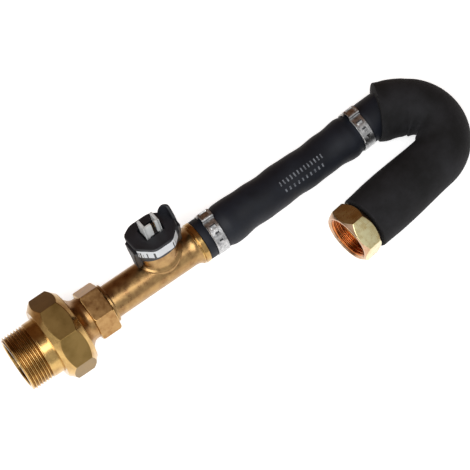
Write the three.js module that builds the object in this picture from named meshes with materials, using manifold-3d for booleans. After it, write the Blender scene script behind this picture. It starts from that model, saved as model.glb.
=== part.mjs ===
// Heat pump pipe with a flow sensor, in millimetres, +Z up, lying on the floor as it rests.
// A brass flow body with an oval sensor boss sits between a union with a male thread and a
// rubber hose. The hose is clamped to a bent copper pipe in foam insulation, and the pipe
// ends in a loose swivel nut. +X runs along the flow body, from the male thread to the hose.
import * as THREE from 'three';
import { mergeVertices } from 'three/addons/utils/BufferGeometryUtils.js';
import Module from 'manifold-3d';

const wasm = await Module();
wasm.setup();

// General fits
const seatGap = 0.3; // between pieces that rest on each other
const runningGap = 0.4; // around what turns
const flatSealThickness = 2;
const brassSegments = 32;
const sleeveSegments = 24;
const bendSteps = 11; // rings round the U-bend

// Union: male nipple, octagon union nut and the adapter it draws against the seal
const nippleThreadDiameter = 41.9;
const nippleThreadLength = 18;
const nippleThreadChamfer = 0.9;
const nippleBore = 34;
const nippleNeckLength = 25;
const nippleFlangeThickness = 4;
const nippleFlangeLip = 2.2; // radial, past the neck
const unionNutAcrossFlats = 58;
const unionNutLength = 23.4;
const unionNutFaceDiameter = 52;
const unionNutWebThickness = 5;
const unionThreadDiameter = 47.8;
const adapterNeckDiameter = 32.8;
const adapterFlareDiameter = 43;
const adapterFlareLength = 6.5;
const adapterNeckLength = 2.2;
const adapterHexAcrossFlats = 34;
const adapterHexLength = 15.8;
const adapterHexTurn = -3.5; // degrees, as it was tightened
const adapterBore = 18;
const adapterSocketDiameter = 22.6;
const adapterSealThickness = 1.4;

// Flow body: tube, hose collar and barbed tail in one casting
const tubeDiameter = 25;
const tubeBore = 18;
const shoulderDiameter = 29;
const shoulderLength = 2;
const collarStart = 147.6;
const collarLength = 3.6;
const collarDiameter = 31;
const grooveWidth = 0.9;
const grooveDepth = 1.1;
const tubeFlareLength = 7;
const hoseBarbDiameter = 24;
const hoseTailDiameter = 22;
const hoseTailLength = 31;
const barbLength = 5;
const barbPitch = 8.5;
const barbCount = 3;

// Sensor boss and head, measured from the tube's axis outward
const sensorStation = 122;
const sensorTilt = 20; // degrees away from upright
const bossFootHalfLength = 16.5;
const bossHalfLength = 14;
const bossOvalRatio = 0.7;
const bossBrimThickness = 0.9;
const bossTop = 24;
const pocketHalfLength = 9.5;
const plugFlangeHalfLength = 12.2;
const plugFlangeThickness = 2.4;
const plugGrooveHeight = 2.4;
const plugGrooveDepth = 1.2;
const plugGrooveStation = 19;
const bluffBodyWidth = 5;
const bluffBodyOffset = -5.5;
const vaneOffset = 4.5;
const vaneLength = 5;
const vaneThickness = 1.4;
const vaneTip = 1;
const boardHalfLength = 9.6;
const boardWidth = 9.4;
const boardThickness = 1.6;
const boardLift = 3;
const capCorners = [
  [-7, -17], [7, -17], [17, -7], [17, 6.5], [6.5, 14.3], [-9.3, 14.3], [-17, 9.5], [-17, -7],
];
const capCornerReach = 2;
const capBottom = 30.6;
const capTop = 40.4;
const capBevel = 1.5;
const capWall = 2.6;
const skirtHalfLength = 16.4;
const legFoot = 15;
const legFootReach = 16.8;
const legFootHalfWidth = 3.4;
const legTop = 37;
const legTopReach = 18.8;
const legTopHalfWidth = 7;
const tabThickness = 2.2;
const tabEdge = [ // outer corners of the release tab's top
  [12, 9.7, 40.5], [16, 7, 46], [18.8, 4.5, 49], [19, 2, 48.8], [19, 0, 45.5], [19, -2, 40],
];
const recessLength = 16;
const recessWidth = 12.6;
const recessFloor = 37;

// Connector in the head's recess, with its contacts
const connectorLength = 12.6;
const connectorWidth = 9.4;
const connectorTop = 50;
const connectorWall = 2;
const connectorFloor = 2.4;
const connectorShift = [0.6, 0.8];
const keySlotWidth = 2.6;
const keySlotOffset = 2;
const contactCount = 4;
const contactPitch = 2;
const contactSize = 0.64;
const contactLength = 6;
const contactRowOffset = -1.2; // from the connector's middle, toward its near wall

// Rubber hose, its clamps and the route that it takes with the pipe behind it
const hoseDiameter = 30;
const hoseWall = 4;
const hoseClampedDiameter = 29.2;
const hoseBulgeDiameter = 32;
const hoseEndPastClamp = 8;
const clampBandWidth = 9;
const clampBandThickness = 0.8;
const clampOverhang = 6; // hose end to the first band
const clampSetback = 20; // the second band to the elbow
const clampEarAngle = -26; // degrees from upright, away from the U-bend's leg
const clampEarWidth = 8.6;
const clampEarHeight = 4.4;
const clampEarWaist = 6.6;
const clampLapTurn = 86; // degrees of double band beside the ear
const hoseBowStart = 168;
const hoseBowLength = 32;
const hoseBowTurn = 3;
const hoseDropStart = 178;
const hoseDropEnd = 284;
const elbowStart = 313.5;
const elbowRadius = 25;
const elbowTurn = -37;
const elbowToBend = 4.7;
const bendRadius = 25.3;
const bendTurn = -138.6;
const legLength = 85.9;
const legRise = 2.8;

// Bent pipe, its insulation and the swivel nut
const pipeDiameter = 22;
const pipeWall = 1.2;
const pipeTailLength = 34;
const pipeBeadDiameter = 24.4;
const foamDiameter = 40;
const foamMouthDiameter = 42;
const foamMouthLength = 24;
const foamMouthShift = 4.5; // sideways, toward the hose
const foamLegDiameter = 42.4;
const foamNutEndDiameter = 41.2;
const foamFlareLength = 20;
const foamNutGap = 1.8;
const nutAcrossFlats = 38;
const nutLength = 16;
const nutThreadBore = 31.2;
const nutThreadMouth = 34.6;
const nutThreadDepth = 11.6;
const nutFaceDiameter = 36.8;
const collarFlangeDiameter = 30.2;
const collarFlangeThickness = 3.4;
const collarNeckDiameter = 25.8;
const collarNeckLength = 7.4;
const collarLipWidth = 1.6;

const radians = THREE.MathUtils.degToRad;
const axisHeight = unionNutAcrossFlats / 2;
const floorHeight = foamDiameter / 2;

// Solids

// A closed geometry as a solid with its faces turned outward.
function solid(geometry) {
  const plain = geometry.clone();
  plain.deleteAttribute('normal');
  plain.deleteAttribute('uv');
  const merged = mergeVertices(plain, 1e-4);
  const points = merged.attributes.position;
  const corners = Array.from(merged.index.array);
  const triangles = [];
  let volume = 0;
  for (let i = 0; i < corners.length; i += 3) {
    const [a, b, c] = corners.slice(i, i + 3);
    if (a === b || b === c || a === c) continue;
    triangles.push(a, b, c);
    const [p, q, r] = [a, b, c].map((k) => new THREE.Vector3().fromBufferAttribute(points, k));
    volume += p.dot(q.cross(r));
  }
  if (volume < 0) triangles.reverse();
  return new wasm.Manifold(new wasm.Mesh({
    numProp: 3,
    vertProperties: new Float32Array(points.array),
    triVerts: new Uint32Array(triangles),
  }));
}

// A solid's surface as a three.js geometry.
function surface(body) {
  const mesh = body.getMesh();
  const geometry = new THREE.BufferGeometry();
  geometry.setAttribute('position', new THREE.BufferAttribute(mesh.vertProperties, 3));
  geometry.setIndex(new THREE.BufferAttribute(mesh.triVerts, 1));
  geometry.computeVertexNormals();
  return geometry;
}

// A profile of [x, radius] points, closed on itself or on the axis, turned about the X axis.
function turned(profile, segments = brassSegments) {
  const points = [...profile, profile[0]].map(([x, radius]) => new THREE.Vector2(radius, x));
  return new THREE.LatheGeometry(points, segments).rotateZ(-Math.PI / 2);
}

function solidTurned(profile, segments) {
  return solid(turned(profile, segments));
}

function rod(from, to, diameter, segments) {
  return solidTurned([[from, 0], [from, diameter / 2], [to, diameter / 2], [to, 0]], segments);
}

// An outline drawn in the (Y, Z) plane, extruded along X from one station to another.
function extrudedAlongX(shape, from, to) {
  const geometry = new THREE.ExtrudeGeometry(shape, { depth: to - from, bevelEnabled: false });
  const [x, y, z] = [0, 1, 2].map((axis) => new THREE.Vector3().setComponent(axis, 1));
  return geometry.applyMatrix4(new THREE.Matrix4().makeBasis(y, z, x)).translate(from, 0, 0);
}

// An oval column along Z, given as [height, half length] points on its profile.
function ovalColumn(profile, ratio = bossOvalRatio, segments = brassSegments) {
  const points = profile.map(([height, radius]) => new THREE.Vector2(radius, height));
  const geometry = new THREE.LatheGeometry(points, segments).rotateX(Math.PI / 2);
  return solid(geometry.scale(1, ratio, 1));
}

function box(sizeX, sizeY, sizeZ, x, y, z) {
  return solid(new THREE.BoxGeometry(sizeX, sizeY, sizeZ).translate(x, y, z));
}

// A prism with flat sides and 45 degree chamfers down to a round face at both ends.
function nutBlank({ sides, acrossFlats, length, faceDiameter, start, turn = 0 }) {
  const cornerRadius = acrossFlats / 2 / Math.cos(Math.PI / sides);
  const prism = new THREE.CylinderGeometry(cornerRadius, cornerRadius, length, sides)
    .rotateZ(-Math.PI / 2).rotateX(turn).translate(start + length / 2, 0, 0);
  const over = cornerRadius + 1;
  const chamfer = over - faceDiameter / 2;
  const cones = solidTurned([
    [start, 0], [start, faceDiameter / 2], [start + chamfer, over],
    [start + length - chamfer, over], [start + length, faceDiameter / 2], [start + length, 0],
  ]);
  return solid(prism).intersect(cones);
}

// Routes

// A level line of straight and round steps, with a height for each distance along it.
class Route {
  constructor({ x, y, heading, distance, steps, height }) {
    Object.assign(this, { x, y, heading, distance, steps, height });
  }

  plan(distance) {
    let { x, y } = this;
    let heading = radians(this.heading);
    let left = distance - this.distance;
    this.steps.forEach(([length, turn], index) => {
      const last = index === this.steps.length - 1;
      const part = last || left < 0 ? left : Math.min(left, length);
      const angle = radians(turn) * part / length;
      const middle = heading + angle / 2;
      const chord = angle === 0 ? part : part * Math.sin(angle / 2) / (angle / 2);
      x += chord * Math.cos(middle);
      y += chord * Math.sin(middle);
      heading += angle;
      left -= part;
    });
    return { x, y, heading };
  }

  // The frame at one distance: +X along the route, +Y to its left.
  frame(distance) {
    const small = 0.05;
    const { x, y, heading } = this.plan(distance);
    const rise = this.height(distance + small) - this.height(distance - small);
    const along = new THREE.Vector3(Math.cos(heading), Math.sin(heading), rise / (2 * small));
    const left = new THREE.Vector3(-Math.sin(heading), Math.cos(heading), 0);
    along.normalize();
    const up = along.clone().cross(left);
    const matrix = new THREE.Matrix4().makeBasis(along, left, up);
    return matrix.setPosition(x, y, this.height(distance));
  }

  // Bends a geometry that was turned about X, whose x is the distance along the route.
  bend(geometry) {
    const points = geometry.attributes.position;
    const point = new THREE.Vector3();
    const frames = new Map();
    for (let i = 0; i < points.count; i += 1) {
      point.fromBufferAttribute(points, i);
      const key = point.x.toFixed(4);
      if (!frames.has(key)) frames.set(key, this.frame(point.x));
      point.setX(0).applyMatrix4(frames.get(key));
      points.setXYZ(i, point.x, point.y, point.z);
    }
    return geometry;
  }
}

// A value that runs smoothly through [distance, value] pairs.
function smoothThrough(pairs) {
  return (distance) => {
    const next = pairs.findIndex(([at]) => at > distance);
    if (next === 0) return pairs[0][1];
    if (next < 0) return pairs[pairs.length - 1][1];
    const [[from, low], [to, high]] = [pairs[next - 1], pairs[next]];
    return low + (high - low) * THREE.MathUtils.smoothstep(distance, from, to);
  };
}

// Distances from one end to the other: every station in the list, and steps between them.
function stations(marks, step) {
  const list = [marks[0]];
  for (let i = 1; i < marks.length; i += 1) {
    const count = Math.max(1, Math.ceil((marks[i] - marks[i - 1]) / step(marks[i - 1])));
    for (let k = 1; k <= count; k += 1) {
      list.push(marks[i - 1] + (marks[i] - marks[i - 1]) * k / count);
    }
  }
  return list;
}

// A hollow sleeve with an outer and an inner radius at each station.
function sleeve(list, outer, inner) {
  const out = list.map((distance) => [distance, outer(distance)]);
  const back = [...list].reverse().map((distance) => [distance, inner(distance)]);
  return turned([...out, ...back], sleeveSegments);
}

// Stations along the run, worked out from the sizes above
const unionNutStart = nippleNeckLength;
const unionNutEnd = unionNutStart + unionNutLength;
const nippleEnd = unionNutStart + unionNutWebThickness + seatGap + nippleFlangeThickness;
const adapterStart = nippleEnd + flatSealThickness + 2 * seatGap;
const adapterFlareStart = unionNutEnd + 0.6;
const adapterNeckStart = adapterFlareStart + adapterFlareLength;
const adapterHexStart = adapterNeckStart + adapterNeckLength;
const adapterEnd = adapterHexStart + adapterHexLength;
const socketFloor = adapterHexStart + 1;
const bodyStart = socketFloor + adapterSealThickness + 2 * seatGap;
const shoulderStart = adapterEnd + seatGap;
const collarEnd = collarStart + collarLength;
const tailEnd = collarEnd + hoseTailLength;
const barbedLength = (barbCount - 1) * barbPitch + barbLength;
const hoseStart = collarEnd + seatGap;
const firstClamp = hoseStart + clampOverhang + clampBandWidth / 2;

const elbowLength = elbowRadius * radians(Math.abs(elbowTurn));
const bendLength = bendRadius * radians(Math.abs(bendTurn));
const elbowEnd = elbowStart + elbowLength;
const bendStart = elbowEnd + elbowToBend;
const bendEnd = bendStart + bendLength;
const nutFace = bendEnd + legLength;
const pipeStart = elbowStart - pipeTailLength;
const secondClamp = elbowStart - clampSetback;
const hoseEnd = secondClamp + clampBandWidth / 2 + hoseEndPastClamp;

function runHeight(distance) {
  if (distance > bendEnd) return floorHeight + legRise * (distance - bendEnd) / legLength;
  return THREE.MathUtils.lerp(
    axisHeight,
    floorHeight,
    THREE.MathUtils.smoothstep(distance, hoseDropStart, hoseDropEnd),
  );
}

const run = new Route({
  x: 0,
  y: 0,
  heading: 0,
  distance: 0,
  height: runHeight,
  steps: [
    [hoseBowStart, 0],
    [hoseBowLength, hoseBowTurn],
    [elbowStart - hoseBowStart - hoseBowLength, 0],
    [elbowLength, elbowTurn],
    [elbowToBend, 0],
    [bendLength, bendTurn],
    [legLength, 0],
  ],
});

// Union

function outletNipple() {
  const crest = nippleThreadDiameter / 2;
  const root = crest - nippleThreadChamfer;
  const flangeRadius = crest + nippleFlangeLip;
  const flangeStart = nippleEnd - nippleFlangeThickness;
  return solidTurned([
    [0, nippleBore / 2], [0, root], [nippleThreadChamfer, crest],
    [nippleThreadLength, crest], [flangeStart, crest], [flangeStart, flangeRadius],
    [nippleEnd, flangeRadius], [nippleEnd, nippleBore / 2],
  ]);
}

function ringSeal(from, thickness, outerDiameter, innerDiameter) {
  const to = from + thickness;
  return solidTurned([
    [from, innerDiameter / 2], [from, outerDiameter / 2],
    [to, outerDiameter / 2], [to, innerDiameter / 2],
  ], sleeveSegments);
}

function unionNut() {
  const blank = nutBlank({
    sides: 8,
    acrossFlats: unionNutAcrossFlats,
    length: unionNutLength,
    faceDiameter: unionNutFaceDiameter,
    start: unionNutStart,
    turn: Math.PI / 8,
  });
  const webEnd = unionNutStart + unionNutWebThickness;
  return blank
    .subtract(rod(unionNutStart - 1, webEnd + 1, nippleThreadDiameter + 2 * seatGap))
    .subtract(rod(webEnd, unionNutEnd + 1, unionThreadDiameter));
}

function tailAdapter() {
  const threadRadius = unionThreadDiameter / 2 - seatGap;
  const flareStep = 5;
  const flare = [];
  for (let i = 0; i <= flareStep; i += 1) {
    const angle = (Math.PI / 2) * i / flareStep;
    flare.push([
      adapterFlareStart + adapterFlareLength * Math.sin(angle),
      adapterNeckDiameter / 2
        + (adapterFlareDiameter - adapterNeckDiameter) / 2 * (1 - Math.sin(angle)) ** 2,
    ]);
  }
  const body = solidTurned([
    [adapterStart, 0], [adapterStart, threadRadius], [adapterFlareStart, threadRadius],
    ...flare, [adapterHexStart + 1, adapterNeckDiameter / 2], [adapterHexStart + 1, 0],
  ]);
  const hex = nutBlank({
    sides: 6,
    acrossFlats: adapterHexAcrossFlats,
    length: adapterHexLength,
    faceDiameter: adapterHexAcrossFlats,
    start: adapterHexStart,
    turn: Math.PI / 6 + radians(adapterHexTurn),
  });
  return body.add(hex)
    .subtract(rod(adapterStart - 1, adapterEnd + 1, adapterBore))
    .subtract(rod(socketFloor, adapterEnd + 1, adapterSocketDiameter));
}

// Flow body

// Saw-tooth rings that hold the hose, the last one at the tail's mouth.
function barbedTail(from, to, tailDiameter, barbDiameter) {
  const tail = tailDiameter / 2;
  const barb = barbDiameter / 2;
  const profile = [[from, tail]];
  for (let i = barbCount - 1; i >= 0; i -= 1) {
    const end = to - i * barbPitch;
    profile.push([end - barbLength - 0.6, tail], [end - barbLength, barb], [end, tail]);
  }
  return profile;
}

function flowBody() {
  const tube = tubeDiameter / 2;
  const collar = collarDiameter / 2;
  const flareStart = collarStart - grooveWidth - tubeFlareLength;
  const grooveStart = collarStart - grooveWidth;
  const spigot = adapterSocketDiameter / 2 - seatGap;
  const outside = solidTurned([
    [bodyStart, 0], [bodyStart, spigot], [shoulderStart, spigot],
    [shoulderStart, shoulderDiameter / 2 - 0.5], [shoulderStart + 0.5, shoulderDiameter / 2],
    [shoulderStart + shoulderLength, shoulderDiameter / 2],
    [shoulderStart + shoulderLength + 1, tube], [flareStart, tube],
    [flareStart + tubeFlareLength * 0.5, tube + 0.4],
    [flareStart + tubeFlareLength * 0.8, tube + 1.3],
    [grooveStart, collar - 0.5], [grooveStart, collar - grooveDepth],
    [collarStart, collar - grooveDepth], [collarStart, collar],
    [collarEnd - 0.5, collar], [collarEnd, collar - 0.5],
    ...barbedTail(collarEnd, tailEnd, hoseTailDiameter, hoseBarbDiameter),
    [tailEnd, 0],
  ]);
  const brimBand = rod(
    sensorStation - bossFootHalfLength - 1,
    sensorStation + bossFootHalfLength + 1,
    tubeDiameter + 2 * bossBrimThickness,
  );
  const brim = onSensorAxis(ovalColumn([
    [0, 0], [0, bossFootHalfLength], [bossTop, bossFootHalfLength], [bossTop, 0],
  ])).intersect(brimBand);
  const boss = onSensorAxis(ovalColumn([
    [0, 0], [0, bossHalfLength + 1], [tube, bossHalfLength + 0.8],
    [tube + 2.5, bossHalfLength], [bossTop - 0.6, bossHalfLength],
    [bossTop, bossHalfLength - 0.6], [bossTop, 0],
  ]));
  const pocket = onSensorAxis(ovalColumn([
    [0, 0], [0, pocketHalfLength], [bossTop + 1, pocketHalfLength], [bossTop + 1, 0],
  ]));
  return outside.add(brim).add(boss)
    .subtract(rod(bodyStart - 1, tailEnd + 1, tubeBore))
    .subtract(pocket);
}

// Sensor, drawn with +Z along the boss from the tube's axis

const sensorPlace = new THREE.Matrix4()
  .makeRotationX(-radians(sensorTilt)).setPosition(sensorStation, 0, 0);

function onSensorAxis(body) {
  return solid(surface(body).applyMatrix4(sensorPlace));
}

const plugBottom = tubeBore / 2 + 0.2;
const plugFlangeBottom = bossTop + seatGap;
const plugFlangeTop = plugFlangeBottom + plugFlangeThickness;
const boardBottom = plugFlangeTop + boardLift;

function sensorPlug() {
  const plug = pocketHalfLength - seatGap;
  const groove = plug - plugGrooveDepth;
  const ratio = (pocketHalfLength * bossOvalRatio - seatGap) / plug;
  const grooveTop = plugGrooveStation + plugGrooveHeight;
  const stem = ovalColumn([
    [plugBottom, 0], [plugBottom, plug], [plugGrooveStation, plug],
    [plugGrooveStation, groove], [grooveTop, groove], [grooveTop, plug],
    [plugFlangeBottom + 1, plug], [plugFlangeBottom + 1, 0],
  ], ratio);
  const flange = ovalColumn([
    [plugFlangeBottom, 0], [plugFlangeBottom, plugFlangeHalfLength],
    [plugFlangeTop, plugFlangeHalfLength], [plugFlangeTop, 0],
  ]);
  const posts = [-1, 1].map((side) => box(
    2.4, 5, boardLift - seatGap + 0.5,
    side * (boardHalfLength - 2), 0, plugFlangeTop + (boardLift - seatGap - 0.5) / 2,
  ));
  return posts.reduce((body, post) => body.add(post), stem.add(flange));
}

function plugSealRing() {
  const plug = pocketHalfLength - seatGap;
  const middle = plug - plugGrooveDepth / 2 + seatGap / 2;
  const thickness = plugGrooveHeight / 2 - seatGap;
  const width = plugGrooveDepth / 2 - seatGap / 2;
  const outline = [];
  for (let i = 0; i < 8; i += 1) {
    const angle = (2 * Math.PI * i) / 8;
    outline.push([
      plugGrooveStation + plugGrooveHeight / 2 + thickness * Math.sin(angle),
      middle + width * Math.cos(angle),
    ]);
  }
  const ratio = (pocketHalfLength * bossOvalRatio - seatGap) / plug;
  return ovalColumn([...outline, outline[0]], ratio, sleeveSegments);
}

// A wedge strut with its broad face toward the outlet, across the whole bore.
function bluffBody() {
  const top = plugBottom - seatGap;
  const half = bluffBodyWidth / 2;
  const foot = Math.sqrt((tubeBore / 2) ** 2 - half ** 2) - seatGap;
  const section = new THREE.Shape();
  section.moveTo(-half, -half);
  section.lineTo(half * 0.8, -half * 0.35);
  section.lineTo(half * 0.8, half * 0.35);
  section.lineTo(-half, half);
  const geometry = new THREE.ExtrudeGeometry(section, { depth: top + foot, bevelEnabled: false });
  return solid(geometry.translate(bluffBodyOffset, 0, -foot));
}

function sensingVane() {
  const top = plugBottom - seatGap;
  return box(vaneLength, vaneThickness, top - vaneTip, vaneOffset, 0, (top + vaneTip) / 2);
}

function circuitBoard() {
  const middle = boardBottom + boardThickness / 2;
  return box(2 * boardHalfLength, boardWidth, boardThickness, 0, 0, middle);
}

// The cap's outline, an uneven octagon with rounded corners, drawn in by an inset.
function capOutline(inset) {
  const scale = 1 - inset / Math.max(...capCorners.flat());
  const corners = capCorners.map(([x, y]) => new THREE.Vector2(x, y).multiplyScalar(scale));
  return corners.flatMap((corner, index) => {
    const [before, after] = [-1, 1].map((step) => corners.at((index + step) % corners.length)
      .clone().sub(corner).setLength(capCornerReach).add(corner));
    return new THREE.QuadraticBezierCurve(before, corner, after).getPoints(3);
  });
}

// Cap, skirt round the plug, two legs that grip the boss and the release tab of one leg.
function sensorHousing() {
  const cap = wasm.Manifold.hull([
    [capBottom, 0.6], [capBottom + 0.8, 0], [capTop - capBevel, 0],
    [capTop - capBevel / 3, capBevel / 3], [capTop, capBevel],
  ].flatMap(([height, inset]) => capOutline(inset).map(({ x, y }) => [x, y, height])));
  const skirt = ovalColumn([
    [bossTop + seatGap, 0], [bossTop + seatGap, skirtHalfLength],
    [capBottom + 1, skirtHalfLength], [capBottom + 1, 0],
  ], 0.78);
  const legs = [-1, 1].map((side) => gripLeg(side));
  const cavity = ovalColumn([
    [bossTop - 1, 0], [bossTop - 1, plugFlangeHalfLength + seatGap],
    [recessFloor - capWall, plugFlangeHalfLength + seatGap], [recessFloor - capWall, 0],
  ], bossOvalRatio + 0.02);
  const recess = box(
    recessLength, recessWidth, capTop - recessFloor + 2,
    connectorShift[0], connectorShift[1], (capTop + recessFloor + 2) / 2,
  );
  const solids = cap.add(skirt).add(legs[0]).add(legs[1]).add(releaseTab());
  return solids.subtract(cavity).subtract(recess);
}

// A leg that tapers to its foot, with its upper end proud of the cap's side.
function gripLeg(side) {
  const inner = bossHalfLength + seatGap + 0.1;
  const corners = [
    [inner, legFootHalfWidth, legFoot], [legFootReach, legFootHalfWidth, legFoot],
    [inner, legTopHalfWidth, capBottom - 1], [legTopReach, legTopHalfWidth, capBottom - 1],
    [inner, legTopHalfWidth, legTop], [legTopReach, legTopHalfWidth, legTop],
  ];
  return wasm.Manifold.hull(corners.flatMap(([x, y, z]) => [[side * x, y, z], [side * x, -y, z]]));
}

// The tab that stands up from the right leg: a thin wall in short steps along the cap's side.
function releaseTab() {
  const post = ([x, y, top]) => [0, tabThickness].flatMap((depth) => {
    const scale = 1 - depth / Math.hypot(x, y);
    return [capBottom + 1, top].map((z) => [x * scale, y * scale, z]);
  });
  return tabEdge.slice(1)
    .map((end, index) => wasm.Manifold.hull([...post(tabEdge[index]), ...post(end)]))
    .reduce((wall, step) => wall.add(step));
}

// A box open at the top and at its far side, with a key slot in the near wall.
function connectorSocket() {
  const bottom = recessFloor + seatGap;
  const height = connectorTop - bottom;
  const [x, y] = connectorShift;
  const shell = box(connectorLength, connectorWidth, height, x, y, bottom + height / 2);
  const inside = box(
    connectorLength - 2 * connectorWall, connectorWidth, height,
    x, y + connectorWall, bottom + connectorFloor + height / 2,
  );
  const slot = box(
    keySlotWidth, 2 * connectorWall + 1, height,
    keySlotOffset, y - connectorWidth / 2, bottom + connectorFloor + height / 2,
  );
  return shell.subtract(inside).subtract(slot);
}

function contactPin(index) {
  const [x, y] = connectorShift;
  const bottom = recessFloor + connectorFloor + 2 * seatGap;
  const across = x + (index - (contactCount - 1) / 2) * contactPitch;
  const middle = bottom + contactLength / 2;
  return box(contactSize, contactSize, contactLength, across, y + contactRowOffset, middle);
}

// Hose and clamps

// Inner radius of the hose: it fits the two tails and their barbs with a small gap.
const hoseBore = [
  [hoseStart, hoseTailDiameter / 2 + seatGap],
  [tailEnd - barbedLength - 4, hoseTailDiameter / 2 + seatGap],
  [tailEnd - barbedLength - 1, hoseBarbDiameter / 2 + seatGap],
  [tailEnd + 1, hoseBarbDiameter / 2 + seatGap],
  [tailEnd + 8, hoseDiameter / 2 - hoseWall],
  [pipeStart - 8, hoseDiameter / 2 - hoseWall],
  [pipeStart - 1, pipeBeadDiameter / 2 + seatGap],
  [hoseEnd, pipeBeadDiameter / 2 + seatGap],
];
const hoseInner = smoothThrough(hoseBore);

const hoseOuter = smoothThrough([
  [hoseStart, hoseDiameter / 2 + 0.1],
  [firstClamp - clampBandWidth / 2 - 1.5, hoseDiameter / 2 + 0.2],
  [firstClamp - clampBandWidth / 2, hoseClampedDiameter / 2],
  [firstClamp + clampBandWidth / 2, hoseClampedDiameter / 2],
  [firstClamp + clampBandWidth / 2 + 7, hoseBulgeDiameter / 2],
  [tailEnd + 12, hoseDiameter / 2],
  [pipeStart - 12, hoseDiameter / 2 - 0.5],
  [secondClamp - clampBandWidth / 2 - 6, hoseBulgeDiameter / 2 - 0.2],
  [secondClamp - clampBandWidth / 2, hoseClampedDiameter / 2],
  [secondClamp + clampBandWidth / 2, hoseClampedDiameter / 2],
  [secondClamp + clampBandWidth / 2 + 1.5, hoseDiameter / 2 + 0.2],
  [hoseEnd, hoseDiameter / 2 + 0.1],
]);

function hoseGeometry() {
  const marks = [hoseStart];
  [firstClamp, secondClamp].forEach((clamp) => {
    marks.push(
      clamp - clampBandWidth / 2 - 1.5, clamp - clampBandWidth / 2,
      clamp + clampBandWidth / 2, clamp + clampBandWidth / 2 + 1.5,
    );
  });
  marks.push(hoseEnd);
  const step = (distance) => (
    distance > tailEnd + 10 && distance < pipeStart - 14 ? 26 : 10
  );
  marks.push(tailEnd + 12, pipeStart - 12, ...hoseBore.slice(1, -1).map(([at]) => at));
  marks.sort((a, b) => a - b);
  return run.bend(sleeve(stations(marks, step), hoseOuter, hoseInner));
}

// A band with a pinched ear, one strip bent to a ring.
function earClamp() {
  const inner = hoseClampedDiameter / 2 + seatGap;
  const outer = inner + clampBandThickness;
  const half = clampBandWidth / 2;
  const band = rod(-half, half, 2 * outer).subtract(rod(-half - 1, half + 1, 2 * inner));
  const earOutline = (inset) => {
    const foot = outer - clampBandThickness / 2 + inset;
    const waist = outer + clampEarHeight * 0.4;
    const top = outer + clampEarHeight - inset;
    const [wide, narrow] = [clampEarWidth / 2 - inset, clampEarWaist / 2 - inset];
    const shape = new THREE.Shape();
    shape.moveTo(-wide, foot);
    shape.lineTo(-narrow, waist);
    shape.quadraticCurveTo(-wide - 0.4, top, -narrow * 0.5, top);
    shape.lineTo(narrow * 0.5, top);
    shape.quadraticCurveTo(wide + 0.4, top, narrow, waist);
    shape.lineTo(wide, foot);
    return shape;
  };
  const ear = solid(extrudedAlongX(earOutline(0), -half, half));
  const loop = solid(extrudedAlongX(earOutline(clampBandThickness), -half - 1, half + 1));
  const reach = 2 * outer;
  const sector = new THREE.Shape();
  sector.moveTo(0, 0);
  sector.lineTo(0, reach);
  sector.lineTo(-reach, reach);
  sector.lineTo(-reach, reach / Math.tan(radians(clampLapTurn)));
  const lap = rod(-half, half, 2 * (outer + clampBandThickness))
    .subtract(rod(-half - 1, half + 1, 2 * inner))
    .intersect(solid(extrudedAlongX(sector, -half - 1, half + 1)));
  const turn = (body) => solid(surface(body).rotateX(radians(clampEarAngle)));
  return turn(band.add(lap).add(ear).subtract(loop));
}

// Bent pipe and insulation

function bendPipe() {
  const pipe = pipeDiameter / 2;
  const bead = pipeBeadDiameter / 2;
  const end = nutFace - collarSeat - collarLipWidth - seatGap;
  const beadStart = pipeStart + 2.5;
  const outer = smoothThrough([
    [pipeStart, pipe], [beadStart, pipe], [beadStart + 1.8, bead], [beadStart + 3.6, pipe],
    [beadStart + 7.2, pipe], [beadStart + 9, bead], [beadStart + 10.8, pipe], [end, pipe],
  ]);
  const marks = [
    pipeStart, beadStart, beadStart + 1.8, beadStart + 3.6,
    beadStart + 7.2, beadStart + 9, beadStart + 10.8, elbowStart, elbowEnd,
    bendStart, bendEnd, end,
  ];
  const step = (distance) => {
    if (distance >= bendStart && distance < bendEnd) return bendLength / bendSteps;
    if (distance >= elbowStart && distance < elbowEnd) return elbowLength / 4;
    return legLength;
  };
  return run.bend(sleeve(stations(marks, step), outer, (at) => outer(at) - pipeWall));
}

// Distances from the nut's face back along the leg
const collarSeat = nutThreadDepth - collarFlangeThickness;
const collarEndFromFace = collarSeat + collarFlangeThickness + collarNeckLength;

// Flanged end piece that is brazed on the pipe and draws up against the seal.
function pipeCollar() {
  const flangeBack = collarSeat + collarFlangeThickness - seatGap;
  const pipeSocket = pipeDiameter / 2 + seatGap;
  return [
    [collarSeat, pipeSocket - collarLipWidth], [collarSeat, collarFlangeDiameter / 2],
    [flangeBack, collarFlangeDiameter / 2], [flangeBack, collarNeckDiameter / 2],
    [collarEndFromFace, collarNeckDiameter / 2], [collarEndFromFace, pipeSocket],
    [collarSeat + collarLipWidth, pipeSocket],
    [collarSeat + collarLipWidth, pipeSocket - collarLipWidth],
  ];
}

function swivelNut() {
  const blank = nutBlank({
    sides: 6,
    acrossFlats: nutAcrossFlats,
    length: nutLength,
    faceDiameter: nutFaceDiameter,
    start: 0,
  });
  const mouth = (nutThreadMouth - nutThreadBore) / 2;
  const thread = solidTurned([
    [-1, 0], [-1, nutThreadMouth / 2], [0, nutThreadMouth / 2],
    [mouth, nutThreadBore / 2], [nutThreadDepth, nutThreadBore / 2], [nutThreadDepth, 0],
  ]);
  return blank.subtract(thread)
    .subtract(rod(0, nutLength + 1, collarNeckDiameter + 2 * runningGap));
}

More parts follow.
